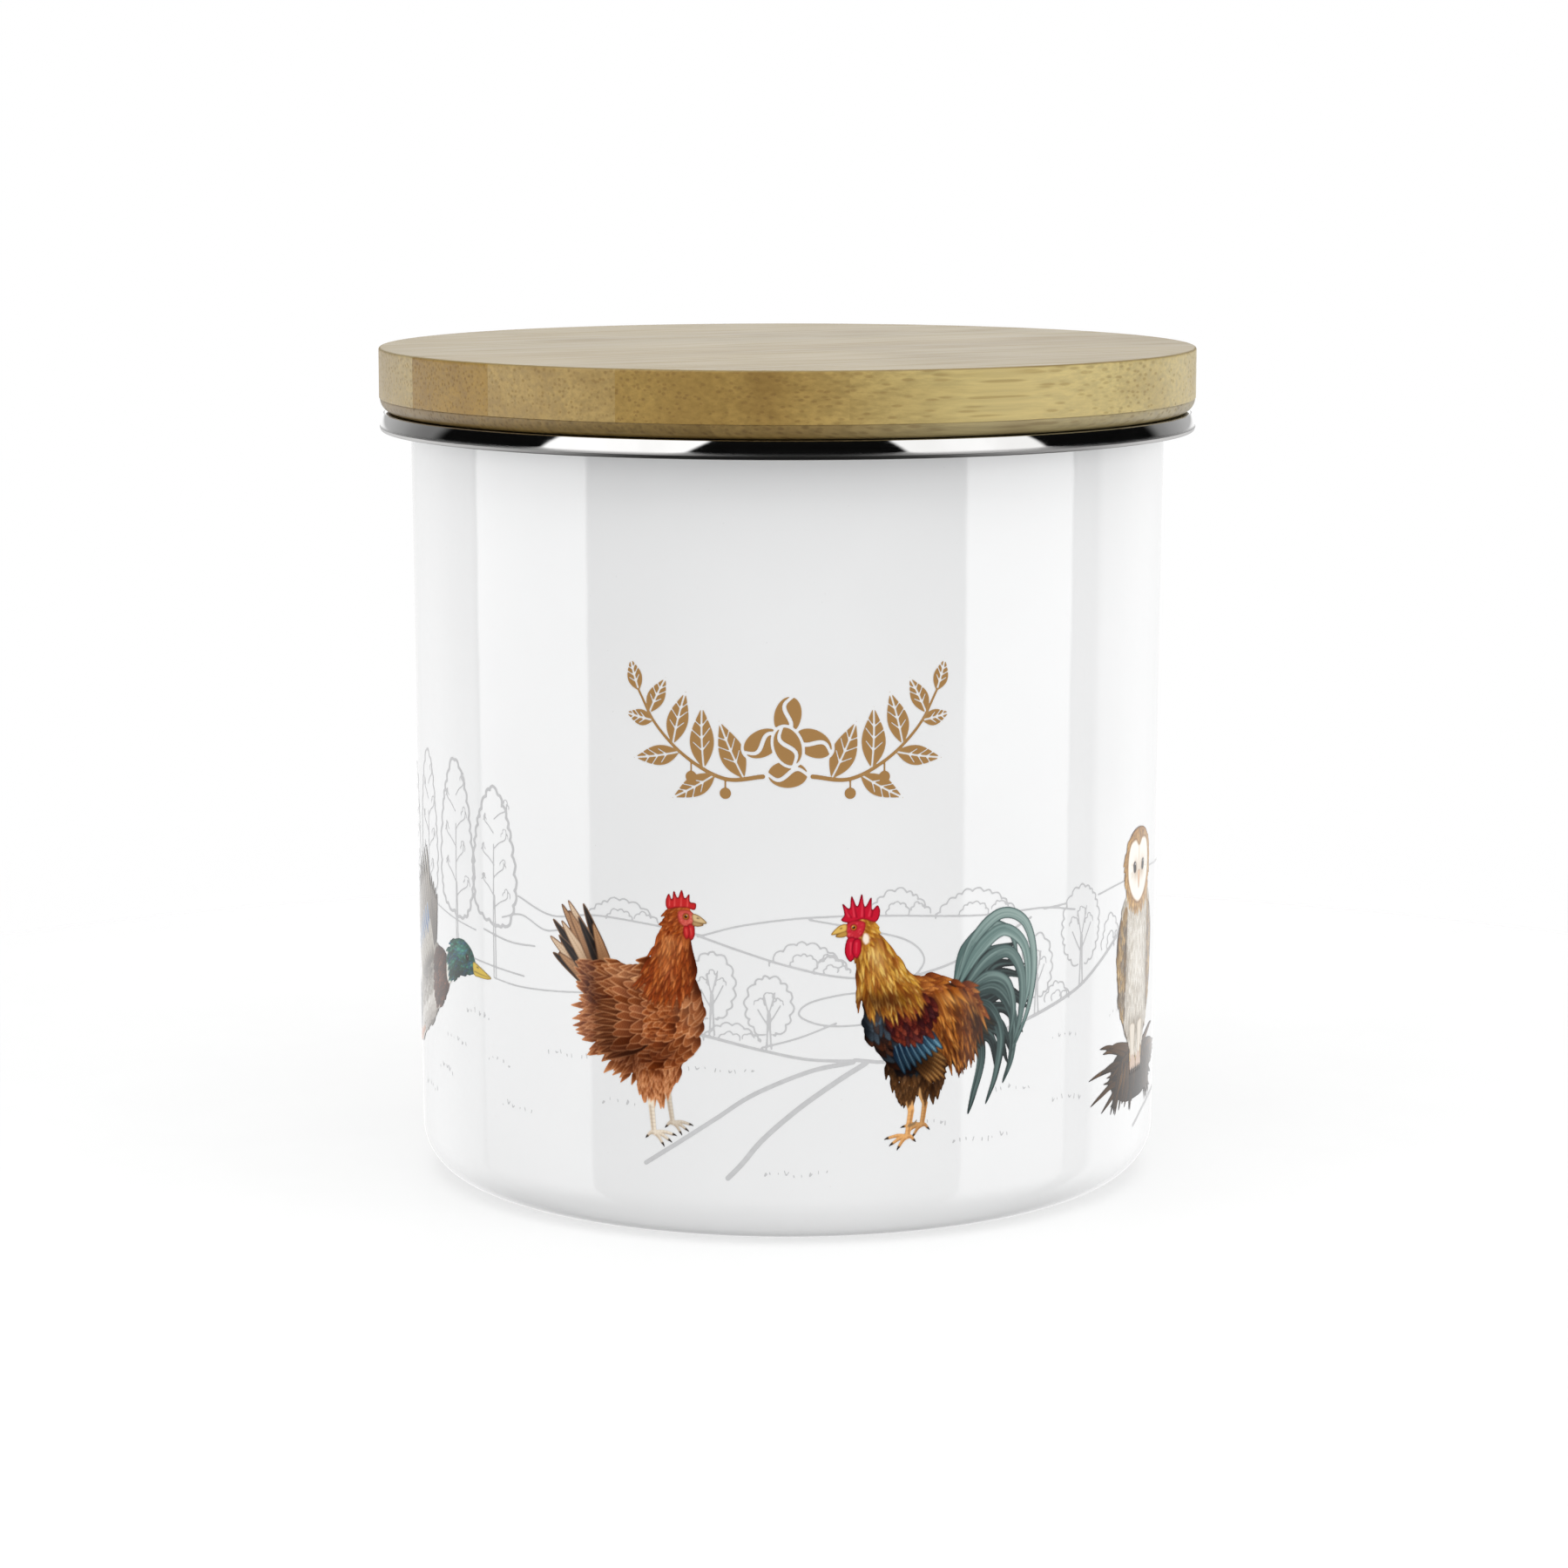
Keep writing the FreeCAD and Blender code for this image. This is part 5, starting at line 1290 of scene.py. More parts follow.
def board(profile, seams, prefix, tones, low, high, lower):
    """The turned ply, sawn into its strips."""
    v, f = lathe_data(profile, 360, False)
    edges = [-70.0, *seams, 70.0]
    across = np.array((-math.sin(GRAIN), math.cos(GRAIN), 0.0))
    for i, (c0, c1) in enumerate(zip(edges, edges[1:]), 1):
        bm = bmesh.new()
        vs = [bm.verts.new(p) for p in v]
        for g in f:
            bm.faces.new([vs[k] for k in g])
        for c, keep_above in ((c0, True), (c1, False)):
            if abs(c) > LID_R:
                continue
            geom = bm.verts[:] + bm.edges[:] + bm.faces[:]
            co = across * c
            no = -across if keep_above else across
            bmesh.ops.bisect_plane(bm, geom=geom, dist=1e-4, plane_co=co, plane_no=no, clear_outer=True)
            bmesh.ops.edgeloop_fill(bm, edges=[e for e in bm.edges if len(e.link_faces) == 1])
        bmesh.ops.remove_doubles(bm, verts=bm.verts[:], dist=3e-3)
        bmesh.ops.recalc_face_normals(bm, faces=bm.faces)
        bm.verts.ensure_lookup_table()
        me = bpy.data.meshes.new(f"{prefix}_{i}_bamboo")
        for q in bm.verts:
            q.co *= MM
        for face in bm.faces:
            face.smooth = len(face.verts) <= 4
        bm.to_mesh(me)
        bm.free()
        o = crease(bpy.data.objects.new(me.name, me), 32)
        bpy.context.scene.collection.objects.link(o)
        me.materials.append(bamboo_material(f"bamboo_{prefix}_{i}", i + (20 if lower else 0), tones[i - 1], low, high, lower))
        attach(o, "lid")
        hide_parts(f"{prefix}_{i}")


top_profile = rounded(
    [(0, GLUE_Z), (LID_R - 0.4, GLUE_Z), (LID_R, GLUE_Z), (LID_R, GLUE_Z + 0.25), (LID_R, LID_TOP_Z - 0.70), (LID_R, LID_TOP_Z), (LID_R - 0.70, LID_TOP_Z), (0, LID_TOP_Z)],
    [0, 0, 0.04, 0, 0, 0.42, 0, 0], arc=6, step=60.0,
)
under_profile = (
    [(0, GLUE_Z), (LID_R - 0.40, GLUE_Z), (LID_R - 0.12, GLUE_Z)]
    + [(LID_R - 0.10 - 1.95 * (1 - math.cos(a)), GLUE_Z - 0.02 - 2.06 * math.sin(a)) for a in np.linspace(0.02, math.pi / 2, 12)]
    + rounded([(57.9, LID_UNDER_Z), (PLUG_R, LID_UNDER_Z), (PLUG_R, GROOVE_Z1), (GROOVE_R, GROOVE_Z1), (GROOVE_R, GROOVE_Z0), (PLUG_R, GROOVE_Z0), (PLUG_R, PLUG_BOTTOM_Z), (PLUG_R - 0.85, PLUG_BOTTOM_Z), (0, PLUG_BOTTOM_Z)],
              [0, 0.25, 0.12, 0.1, 0.1, 0.12, 0.55, 0, 0], arc=4, step=60.0)
)
UPPER_TONES = [(0.352, 0.226, 0.056), (0.342, 0.217, 0.053), (0.392, 0.268, 0.091), (0.312, 0.186, 0.034), (0.425, 0.318, 0.136), (0.352, 0.242, 0.084), (0.375, 0.262, 0.092)]
LOWER_TONES = [tuple(w * k for w in (0.238, 0.154, 0.045)) for k in (0.96, 0.86, 0.92, 0.84, 0.90, 0.94, 0.85)]
board(top_profile, UPPER_SEAMS, "upper_strip", UPPER_TONES, GLUE_Z, LID_TOP_Z, False)
board(under_profile, LOWER_SEAMS, "lower_strip", LOWER_TONES, PLUG_BOTTOM_Z, GLUE_Z, True)


# ---------------------------------------------------------------- the fired-on print
INK = print_material("ceramic_ink", attribute="ink")
PALE_INK = print_material("ceramic_ink_pale", colour=lin((203, 203, 204)))


def sheet(name, cv, s0, z0, scale=1.0, flip=False, step=0.115, lift=0.05, material=INK, coloured=True, depth=0.26):
    """Lays a canvas on the wall as one clean mesh, cut where its cover falls below half."""
    nx = max(1, round((cv.x1 - cv.x0) * scale / step))
    ny = max(1, round((cv.y1 - cv.y0) * scale / step))
    X = np.linspace(0, cv.w - 1.001, nx + 1)
    Y = np.linspace(0, cv.h - 1.001, ny + 1)
    P = np.concatenate([cv.c * cv.a[..., None], cv.a[..., None]], 2)
    for axis in (0, 1):
        P = 0.5 * P + 0.25 * (np.roll(P, 1, axis) + np.roll(P, -1, axis))
    i, j = X.astype(int), Y.astype(int)
    fx, fy = (X - i)[None, :, None], (Y - j)[:, None, None]
    J, I = j[:, None], i[None, :]
    P = (P[J, I] * (1 - fx) + P[J, I + 1] * fx) * (1 - fy) + (P[J + 1, I] * (1 - fx) + P[J + 1, I + 1] * fx) * fy
    a = P[..., 3]
    col = P[..., :3] / np.maximum(a, 1e-6)[..., None]
    gx, gy = np.meshgrid(np.linspace(cv.x0, cv.x1, nx + 1), np.linspace(cv.y0, cv.y1, ny + 1))
    inn = a >= 0.5
    ids = np.full(a.shape, -1)
    ids[inn] = np.arange(inn.sum())
    pos = [np.stack([gx[inn], gy[inn]], 1)]
    ink = [col[inn]]
    n = int(inn.sum())

    def crossings(A0, A1, x0, x1, y0, y1, c0, c1):
        nonlocal n
        m = (A0 >= 0.5) != (A1 >= 0.5)
        t = np.clip((0.5 - A0[m]) / (A1[m] - A0[m]), 0.12, 0.88)
        out = np.full(A0.shape, -1)
        out[m] = n + np.arange(m.sum())
        n += int(m.sum())
        pos.append(np.stack([x0[m] + (x1[m] - x0[m]) * t, y0[m] + (y1[m] - y0[m]) * t], 1))
        ink.append(np.where((A0[m] >= 0.5)[:, None], c0[m], c1[m]))
        return out

    H = crossings(a[:, :-1], a[:, 1:], gx[:, :-1], gx[:, 1:], gy[:, :-1], gy[:, 1:], col[:, :-1], col[:, 1:])
    V = crossings(a[:-1], a[1:], gx[:-1], gx[1:], gy[:-1], gy[1:], col[:-1], col[1:])
    k = inn.astype(int)
    count = k[:-1, :-1] + k[:-1, 1:] + k[1:, 1:] + k[1:, :-1]
    full = count == 4
    faces = np.stack([ids[:-1, :-1][full], ids[:-1, 1:][full], ids[1:, 1:][full], ids[1:, :-1][full]], 1).tolist()
    for jj, ii in zip(*np.nonzero((count > 0) & (count < 4))):
        corner = (ids[jj, ii], ids[jj, ii + 1], ids[jj + 1, ii + 1], ids[jj + 1, ii])
        side = (H[jj, ii], V[jj, ii + 1], H[jj + 1, ii], V[jj, ii])
        f = []
        for q in range(4):
            if corner[q] >= 0:
                f.append(int(corner[q]))
            if side[q] >= 0:
                f.append(int(side[q]))
        if len(f) > 2:
            faces.append(f)
    pos, ink = np.concatenate(pos), np.concatenate(ink)
    s = s0 + pos[:, 0] * scale * (-1 if flip else 1)
    z = z0 + pos[:, 1] * scale
    if flip:
        faces = [f[::-1] for f in faces]
    th, r = s / 55.2, wall_r(z) + lift
    o = put_np(name, np.stack([r * np.sin(th), -r * np.cos(th), z], 1), faces, [material])
    if coloured:
        c = np.clip(ink, 0, 1)
        c = np.where(c <= 0.04045, c / 12.92, ((c + 0.055) / 1.055) ** 2.4)
        shade = c @ np.array((0.2126, 0.7152, 0.0722))
        c = np.clip(c * np.clip((np.maximum(shade, 1e-4) / 0.22) ** depth, 0.5, 1.12)[:, None], 0, 1)
        layer = o.data.color_attributes.new("ink", "FLOAT_COLOR", "POINT")
        layer.data.foreach_set("color", np.concatenate([c, np.ones((len(c), 1))], 1).astype(np.float32).ravel())
    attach(o, "canister")
    return o


def wobble(p, amount, seed):
    r = np.random.default_rng(seed)
    p = np.array(p, float)
    w = r.normal(0, amount, p.shape)
    for _ in range(2):
        w[1:-1] = (w[:-2] + 2 * w[1:-1] + w[2:]) / 4
    return p + w


class Land:
    """Thin drawn lines round the whole wall, kept as strokes until they are painted."""

    def __init__(self):
        self.lines = []
        self.rng = np.random.default_rng(77)

    def line(self, pts, w=0.24, curve=8):
        self.lines.append((spline(pts, curve) if curve and len(pts) > 2 else np.array(pts, float), w / 2))

    def lobes(self, pts, size, bulge, w):
        """A scalloped line along a path."""
        p = spline(pts, 12)
        d = np.concatenate([[0], np.cumsum(np.hypot(*np.diff(p, axis=0).T))])
        out, at = [], 0.0
        while at < d[-1] - 0.3:
            ln = min(size * self.rng.uniform(0.6, 1.35), d[-1] - at)
            for t in np.linspace(0, 1, 7)[: -1]:
                u = at + ln * t
                q = np.array([np.interp(u, d, p[:, 0]), np.interp(u, d, p[:, 1])])
                e = np.array([np.interp(u + 0.05, d, p[:, 0]), np.interp(u + 0.05, d, p[:, 1])]) - q
                e /= np.linalg.norm(e) + 1e-9
                out.append(q + np.array([-e[1], e[0]]) * bulge * math.sin(math.pi * t) * (0.55 + 0.45 * ln / size) + self.rng.normal(0, 0.03, 2))
            at += ln
        out.append(p[-1])
        self.lines.append((np.array(out), w / 2))

    def bush(self, s, z, w, h, line=0.22):
        self.lobes([(s - w / 2, z), (s - w * 0.36, z + h * 0.55), (s - w * 0.08, z + h * 0.95), (s + w * 0.22, z + h * 0.72), (s + w * 0.5, z)], 1.5, 0.42, line)
        self.lobes([(s - w * 0.22, z), (s - w * 0.12, z + h * 0.42), (s + w * 0.06, z + h * 0.38), (s + w * 0.14, z + 0.1)], 1.2, 0.35, line * 0.85)
        self.lobes([(s + w * 0.18, z + h * 0.15), (s + w * 0.28, z + h * 0.42), (s + w * 0.40, z + h * 0.2)], 1.0, 0.3, line * 0.85)

    def tree(self, s, z, w, h, line=0.24, trunk=0.34):
        top, mid = z + h, z + h * 0.60
        ring = [(s + w * 0.5 * math.cos(a), mid + h * 0.40 * math.sin(a)) for a in np.linspace(-math.pi / 2 + 0.18, 1.5 * math.pi - 0.18, 14)]
        self.lobes([(2 * s - x, y) for x, y in ring], 1.5, 0.45, line)
        self.line([(s - 0.35, z), (s - 0.22, z + h * 0.22), (s - 0.15, z + h * 0.5)], line)
        self.line([(s + 0.35, z), (s + 0.20, z + h * 0.22), (s + 0.15, z + h * 0.5)], line)
        for k, (dx, y0, y1) in enumerate(((-0.26, 0.32, 0.56), (0.27, 0.36, 0.62), (-0.12, 0.48, 0.76), (0.14, 0.5, 0.8))):
            self.line([(s, z + h * y0), (s + dx * w * 0.5, z + h * (y0 + y1) / 2 - 0.1), (s + dx * w, z + h * y1)], line * 0.8)
        for k in range(3):
            x, y = s + w * (-0.22 + 0.22 * k), z + h * (0.62 + 0.09 * (k % 2))
            self.lobes([(x - w * 0.12, y), (x, y + h * 0.08), (x + w * 0.12, y)], 0.9, 0.28, line * 0.7)

    def tall(self, s, z, w, h, foot, line=0.40):
        ring = [(s + w * 0.10, z), (s - w * 0.42, z + h * 0.10), (s - w * 0.52, z + h * 0.38), (s - w * 0.40, z + h * 0.72), (s - w * 0.14, z + h * 0.96), (s + w * 0.05, z + h), (s + w * 0.30, z + h * 0.84),
                (s + w * 0.46, z + h * 0.52), (s + w * 0.50, z + h * 0.24), (s + w * 0.34, z + h * 0.04), (s + w * 0.10, z)]
        self.lobes(ring, 2.0, 0.42, line)
        self.line([(s - 0.25, foot), (s - 0.20, z), (s - 0.05, z + h * 0.3), (s + 0.1, z + h * 0.6)], 0.20)
        self.line([(s + 0.25, foot), (s + 0.22, z), (s + 0.15, z + h * 0.22)], 0.20)
        for k in range(7):
            y = z + h * (0.12 + 0.11 * k)
            sx = -1 if k % 2 else 1
            ln = w * self.rng.uniform(0.20, 0.34)
            self.line(wobble([(s + 0.02 * k, y), (s + sx * ln * 0.5, y + h * 0.05), (s + sx * ln, y + h * 0.085), (s + sx * ln * 1.05, y + h * 0.13)], 0.12, 100 + k), 0.18)
            self.lobes([(s + sx * ln * 0.7, y + h * 0.10), (s + sx * ln * 1.0, y + h * 0.15), (s + sx * ln * 1.25, y + h * 0.09)], 0.9, 0.26, 0.15)

    def grass(self, s, z, w, n=8, h=0.7):
        for k in range(n):
            x = s + w * (k / (n - 1) - 0.5) + self.rng.normal(0, 0.15)
            y = z + self.rng.normal(0, 0.12) + 0.25 * math.sin(k)
            ln = h * self.rng.uniform(0.4, 1.2)
            self.line([(x, y), (x + self.rng.uniform(-0.25, 0.25), y + ln)], 0.16, 0)
            if self.rng.random() < 0.4:
                self.line([(x + 0.1, y), (x + 0.45, y + ln * 0.7)], 0.15, 0)

    def paint(self, x0, x1, seed):
        cv = Canvas(x0, 8.6, x1, 68.5, seed, 11.0)
        for pts, w in self.lines:
            for shift in (-2 * math.pi * 55.2, 0.0, 2 * math.pi * 55.2):
                p = pts + [shift, 0.0]
                if p[:, 0].max() < x0 - 1 or p[:, 0].min() > x1 + 1:
                    continue
                for i in range(0, len(p) - 1, 6):
                    cv.stroke(p[i : i + 7], w, w, (200, 200, 200), soft=0.05)
        return cv


land = Land()
# front: two fields, a lane, hedges and small trees
land.line([(-42.0, 47.2), (-35.5, 45.2), (-28.0, 46.0), (-19.0, 45.3), (-12.0, 44.2)], 0.26)
land.line([(-12.6, 44.0), (-6.0, 45.8), (3.0, 46.9), (14.0, 46.9), (28.0, 46.0), (39.0, 45.9), (46.0, 44.8)], 0.26)
land.line([(-12.4, 44.1), (-6.0, 42.0), (0.5, 40.0), (8.0, 38.4), (18.0, 38.0)], 0.30)
land.line([(3.0, 46.6), (9.0, 45.4), (16.6, 43.4), (19.4, 40.6), (17.6, 38.0), (13.0, 36.4), (7.6, 36.0), (3.0, 34.9), (1.6, 33.2), (4.6, 31.8), (9.4, 31.6), (16.0, 32.4)], 0.26)
land.line([(17.0, 38.0), (23.0, 39.4), (30.0, 42.0), (37.0, 44.8)], 0.34)
land.line([(-22.0, 31.6), (-12.4, 30.2), (-4.0, 28.3), (3.0, 26.9), (9.4, 26.6)], 0.40)
land.line([(-3.6, 28.6), (1.6, 30.0), (6.8, 32.0)], 0.26)
land.line([(9.4, 26.7), (15.0, 26.2), (24.0, 27.0), (31.5, 29.0), (40.0, 31.2), (47.0, 33.4), (52.0, 36.0), (57.6, 39.4)], 0.50)
land.line([(9.2, 26.4), (3.0, 25.2), (-4.6, 22.0), (-10.0, 18.4), (-15.0, 15.0), (-20.4, 11.4)], 0.62)
land.line([(11.0, 26.2), (7.0, 23.8), (1.6, 20.0), (-3.4, 15.6), (-6.4, 12.0), (-8.4, 9.9)], 0.74)
land.bush(-23.8, 45.6, 11.0, 2.9)
land.bush(15.8, 46.9, 9.0, 3.6)
land.bush(27.6, 46.1, 13.0, 3.6)
land.bush(2.6, 40.1, 10.2, 3.2)
land.bush(6.2, 39.0, 5.0, 2.2)
land.bush(-7.8, 29.4, 8.0, 2.4)
land.tree(-2.6, 28.4, 6.0, 10.0)
land.tree(-10.6, 30.2, 6.0, 11.4)
land.tree(47.6, 33.8, 8.2, 14.0)
land.tree(38.2, 31.0, 5.4, 11.0)
land.bush(42.4, 32.2, 5.0, 2.6)
land.bush(55.6, 37.8, 5.4, 5.0)
land.line([(39.5, 45.7), (44.0, 45.9)], 0.26, 0)
land.line([(51.6, 46.1), (58.0, 46.8), (70.0, 47.4), (84.0, 46.4), (98.0, 46.8)], 0.26)
# left: the tall trees and long fields
land.tall(-69.0, 43.0, 8.4, 21.5, 37.8, 0.34)
land.tall(-57.6, 42.2, 9.6, 22.4, 38.6, 0.44)
land.tall(-47.4, 42.4, 9.2, 19.4, 34.6, 0.44)
land.tall(-80.5, 44.0, 8.0, 17.0, 39.6, 0.34)
for pts, w in (
    ([(-66.0, 42.8), (-58.0, 41.6), (-52.0, 40.9)], 0.2), ([(-50.0, 41.4), (-44.0, 40.4), (-38.8, 40.4)], 0.26), ([(-56.0, 37.0), (-49.0, 36.4), (-41.0, 35.8)], 0.24),
    ([(-47.4, 34.6), (-42.0, 34.2), (-35.4, 34.4), (-29.0, 34.9)], 0.22), ([(-45.6, 43.7), (-41.4, 44.6), (-37.0, 43.0), (-33.6, 43.4)], 0.24),
    ([(-104.0, 45.8), (-94.0, 46.6), (-86.0, 45.4), (-76.0, 46.2)], 0.26), ([(-66.0, 36.0), (-62.0, 35.2), (-57.0, 35.6), (-52.0, 34.9)], 0.22),
):
    land.line(pts, w)
for s, z, w in ((-33.0, 25.3, 7.0), (-24.6, 19.4, 5.0), (-9.4, 25.0, 9.0), (0.9, 10.4, 9.0), (21.0, 16.8, 3.4), (28.6, 13.8, 9.0), (34.0, 20.4, 6.0), (44.0, 26.6, 5.0), (44.6, 17.4, 6.0), (-52.2, 28.6, 6.0),
                (-58.6, 23.6, 6.0), (-62.4, 18.6, 5.0), (-43.0, 16.4, 6.0), (-47.0, 22.4, 5.0), (57.4, 27.8, 4.0), (-70.0, 14.6, 6.0)):
    land.grass(s, z, w, max(5, int(w * 1.1)))
land.line([(64.8, 9.7), (70.0, 11.4), (77.0, 12.2), (86.0, 11.4)], 0.5)
# back: the same country goes on
land.line([(84.0, 46.4), (98.0, 47.6), (114.0, 46.0), (128.0, 44.6), (142.0, 46.2), (160.0, 47.0), (173.4, 46.0), (186.0, 44.8), (204.0, 46.8), (222.0, 47.4), (243.0, 45.8)], 0.28)
land.line([(100.0, 38.4), (112.0, 36.4), (124.0, 37.8), (138.0, 40.2), (150.0, 38.6), (164.0, 36.0), (178.0, 37.8), (192.0, 40.6), (206.0, 38.4), (220.0, 36.4), (236.0, 38.8)], 0.34)
land.line([(96.0, 27.2), (108.0, 28.6), (122.0, 27.4), (136.0, 29.6), (150.0, 28.2), (166.0, 26.6), (184.0, 28.4), (200.0, 30.0), (216.0, 28.6), (232.0, 27.0), (246.0, 28.4)], 0.45)
land.line([(139.0, 29.0), (136.0, 24.0), (140.0, 18.4), (136.0, 13.0), (139.0, 9.8)], 0.75)
land.line([(144.0, 28.8), (143.0, 24.0), (148.0, 18.4), (145.6, 13.0), (149.6, 9.8)], 0.75)
for s, z, w, h in ((91.0, 33.6, 8.0, 14.6), (147.6, 38.8, 7.0, 11.6), (203.0, 38.9, 7.6, 13.0), (236.0, 38.4, 7.0, 12.0)):
    land.tree(s, z, w, h)
for s, z, w, h in ((104.0, 46.8, 12.0, 3.6), (133.0, 45.0, 11.0, 3.4), (158.0, 46.8, 9.0, 3.0), (184.0, 45.0, 12.0, 3.6), (214.0, 47.2, 11.0, 3.4), (120.0, 37.4, 9.0, 3.0), (190.0, 40.2, 8.0, 2.8)):
    land.bush(s, z, w, h)
land.tall(224.6, 42.0, 9.0, 21.0, 36.8, 0.40)
land.tall(214.6, 42.6, 8.6, 19.0, 37.0, 0.40)
for s, z, w in ((98.0, 20.0, 7.0), (112.0, 14.0, 8.0), (127.0, 20.0, 5.0), (158.0, 13.4, 8.0), (181.0, 12.6, 7.0), (203.0, 22.0, 7.0), (215.0, 14.0, 8.0), (229.0, 20.6, 7.0), (238.0, 13.0, 6.0)):
    land.grass(s, z, w, max(5, int(w * 1.1)))
turn = 2 * math.pi * 55.2
for i in range(3):
    x0 = -turn / 2 + turn * i / 3
    sheet(f"print_landscape_{i + 1}", land.paint(x0, x0 + turn / 3, 90 + i), 0.0, 0.0, step=0.125, lift=0.02, material=PALE_INK, coloured=False)

sheet("print_hen", hen(), -20.9, 15.0, 0.93)
sheet("print_rooster", rooster(), 20.9, 14.6, 0.90)
sheet("print_tussock", tussock(), 65.2, 18.4, 1.0, lift=0.05)
sheet("print_owl", owl(), 65.2, 20.2, 0.93, lift=0.07)
sheet("print_drake", duck(), -48.4, 34.6, 1.0)
sheet("print_sprigs", sprigs(), 0.0, 71.8, 1.0, step=0.10, depth=0.0)
# back of the wall
sheet("print_speckled_hen", hen(61, "grey"), 113.0, 14.4, 0.92, flip=True)
sheet("print_goose", goose(), 170.0, 13.6, 1.0)
for i, (s, z, seed, tone, flip) in enumerate(((199.0, 14.6, 5, 0.0, False), (208.6, 12.6, 8, 0.45, True), (217.0, 15.4, 9, 0.15, True))):
    sheet(f"print_chick_{i + 1}", chick(seed, tone), s, z, 1.05, flip=flip)


# ---------------------------------------------------------------- stage, light and camera
def floor():
    rings, seg = [0.0, 0.03, 0.06, 0.09, 0.12, 0.16, 0.22, 0.30, 0.42, 0.60], 96
    v, f = lathe_data([(r * 1000, -0.02) for r in rings], seg, False)
    o = put("pale_floor", v, f, False)
    m, nt, b = new_material("floor_pale")
    n = Net(nt)
    p = n.coords()
    x, y, z = n.split(p)
    nt.links.new(n.mix(n.ramp(n.noise(p, 40.0, 2.0, 0.5), 0.3, 0.7), (0.955, 0.955, 0.955), (0.97, 0.97, 0.97)), b.inputs["Base Color"])
    b.inputs["Roughness"].default_value = 0.6
    r = n.math("SQRT", n.math("ADD", n.math("MULTIPLY", x, x), n.math("MULTIPLY", y, y)))
    nt.links.new(n.ramp(r, 0.16, 0.34, 0.4, 0.0), b.inputs["Alpha"])
    o.data.materials.append(m)
    o.visible_glossy = False


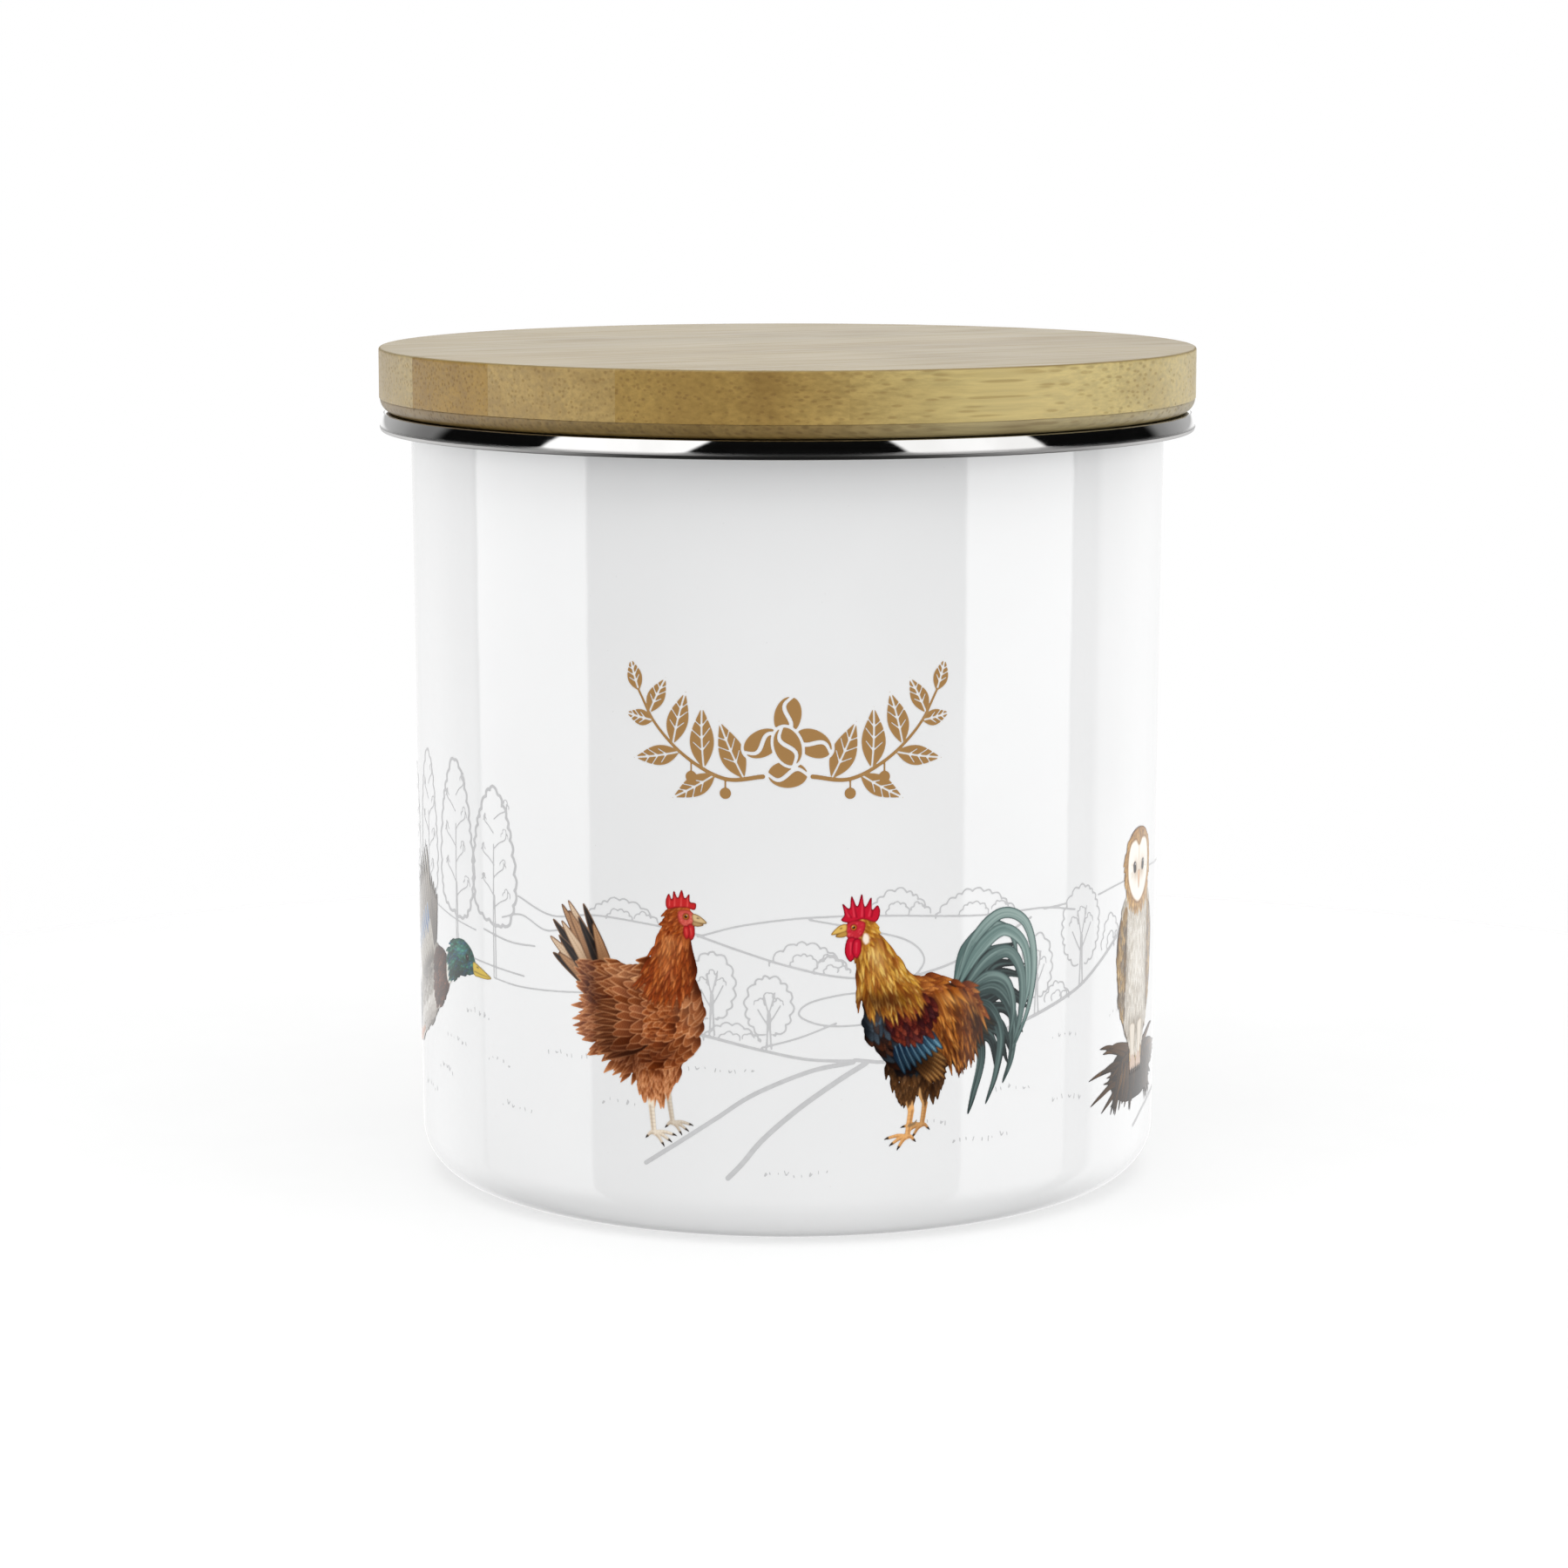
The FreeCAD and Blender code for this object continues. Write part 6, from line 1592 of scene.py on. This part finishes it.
def world():
    w = bpy.data.worlds.new("studio")
    bpy.context.scene.world = w
    w.use_nodes = True
    nt = w.node_tree
    nt.nodes.clear()
    out = nt.nodes.new("ShaderNodeOutputWorld")
    bg = nt.nodes.new("ShaderNodeBackground")
    nt.links.new(bg.outputs[0], out.inputs[0])
    n = Net(nt)
    x, y, z = n.split(n.node("ShaderNodeTexCoord").outputs["Generated"])
    az = n.math("MULTIPLY", n.math("ARCTAN2", x, n.math("MULTIPLY", y, -1.0)), 180 / math.pi)  # 0 towards -Y
    el = n.math("MULTIPLY", n.math("ARCSINE", z), 180 / math.pi)

    def patch(a0, a1, e0, e1, sa=2.0, se=3.0, lean=0.0):
        az_ = az if not lean else n.math("SUBTRACT", az, n.math("MULTIPLY", el, lean))
        a = n.math("MULTIPLY", n.ramp(az_ if lean < 0 else az, a0 - sa, a0 + sa), n.ramp(az_ if lean > 0 else az, a1 + sa, a1 - sa))
        e = n.math("MULTIPLY", n.ramp(el, e0 - se, e0 + se), n.ramp(el, e1 + se, e1 - se))
        return n.math("MULTIPLY", a, e)

    def over(value, mask, level):
        return n.math("ADD", n.math("MULTIPLY", value, n.math("SUBTRACT", 1.0, mask)), n.math("MULTIPLY", mask, level))

    # what polished surfaces see: a pale room, a dark front, tall softboxes and low white cards
    far = n.math("ABSOLUTE", az)
    low = n.math("MULTIPLY", n.ramp(el, -52, -15), n.ramp(el, 1.0, -2.0))
    v = n.math("ADD", n.ramp(far, 120, 155, 0.22, 0.55), n.math("MULTIPLY", n.ramp(el, 0, 60), 0.10))
    v = over(v, n.math("MULTIPLY", n.ramp(far, 167, 175), n.math("MULTIPLY", n.ramp(el, 2, 6), n.ramp(el, 50, 40))), 1.72)
    v = over(v, patch(-116, 126, -70, 66, 4.0, 6.0), 0.004)
    v = over(v, n.ramp(el, -20, -36), 0.004)
    v = over(v, n.math("MULTIPLY", n.ramp(far, 92, 98), low), 0.95)
    v = over(v, n.math("MULTIPLY", n.ramp(far, 106, 112), low), n.ramp(far, 125, 165, 1.80, 1.10))
    v = over(v, n.ramp(el, 60, 76), 0.9)
    fall = n.ramp(el, -14.5, -4.5, 0.66, 1.34)
    v = over(v, n.math("MULTIPLY", patch(-108, -62.5, -90, 90, 0.8, 1.2), low), n.math("MULTIPLY", fall, 2.6))
    v = over(v, n.math("MULTIPLY", patch(55, 95.5, -90, 90, 0.8, 1.2), low), n.math("MULTIPLY", fall, 2.5))
    v = over(v, patch(-73, -33, 2, 64, 1.2, 2.0, 0.22), 1.5)
    v = over(v, patch(36, 77, 2, 64, 1.2, 2.0, -0.10), 1.4)
    # what lights the object: an even, soft tent, a little stronger from the right
    even = n.math("ADD", 0.635, n.math("MULTIPLY", n.ramp(el, -10, 80), 0.15))
    even = n.math("MULTIPLY", even, n.ramp(x, -1.0, 1.0, 0.92, 1.10))
    path = n.node("ShaderNodeLightPath")
    v = over(even, path.outputs["Is Glossy Ray"], v)
    v = over(v, path.outputs["Is Camera Ray"], 1.0)
    nt.links.new(v, bg.inputs["Strength"])
    bg.inputs["Color"].default_value = (1, 1, 1, 1)


def area(name, loc, size, power, target=(0, 0, 0.06), glossy=True):
    d = bpy.data.lights.new(name, "AREA")
    d.shape = "RECTANGLE"
    d.size, d.size_y = size
    d.energy = power
    o = bpy.data.objects.new(name, d)
    o.location = loc
    from mathutils import Vector

    o.rotation_euler = (Vector(target) - Vector(loc)).to_track_quat("-Z", "Y").to_euler()
    o.visible_glossy = glossy
    o.visible_camera = False
    bpy.context.scene.collection.objects.link(o)


floor()
world()
area("softbox_overhead", (0.0, -0.35, 1.20), (1.1, 1.1), 6.6, glossy=False)
area("strip_low_front", (0.0, -1.35, 0.03), (1.5, 0.05), 1.5, glossy=False)
area("softbox_right", (1.3, -0.75, 0.55), (0.7, 0.9), 3.1, glossy=False)
area("softbox_left", (-1.3, -0.75, 0.55), (0.7, 0.9), 2.8, glossy=False)

cam_data = bpy.data.cameras.new("camera")
cam_data.sensor_width = 36.0
cam_data.lens = 36.0 * 5142.6 / 1800.0
cam_data.clip_start, cam_data.clip_end = 0.05, 20.0
cam = bpy.data.objects.new("camera", cam_data)
cam.location = (-0.000515, -0.66163, 0.16046)
cam.rotation_euler = (math.pi / 2 - 0.15518, 0, 0)
bpy.context.scene.collection.objects.link(cam)
bpy.context.scene.camera = cam
vs = bpy.context.scene.view_settings
vs.view_transform = "Standard"
vs.look = "None"
vs.exposure = 0.0
vs.gamma = 1.0
bpy.context.scene.cycles.sample_clamp_indirect = 6.0
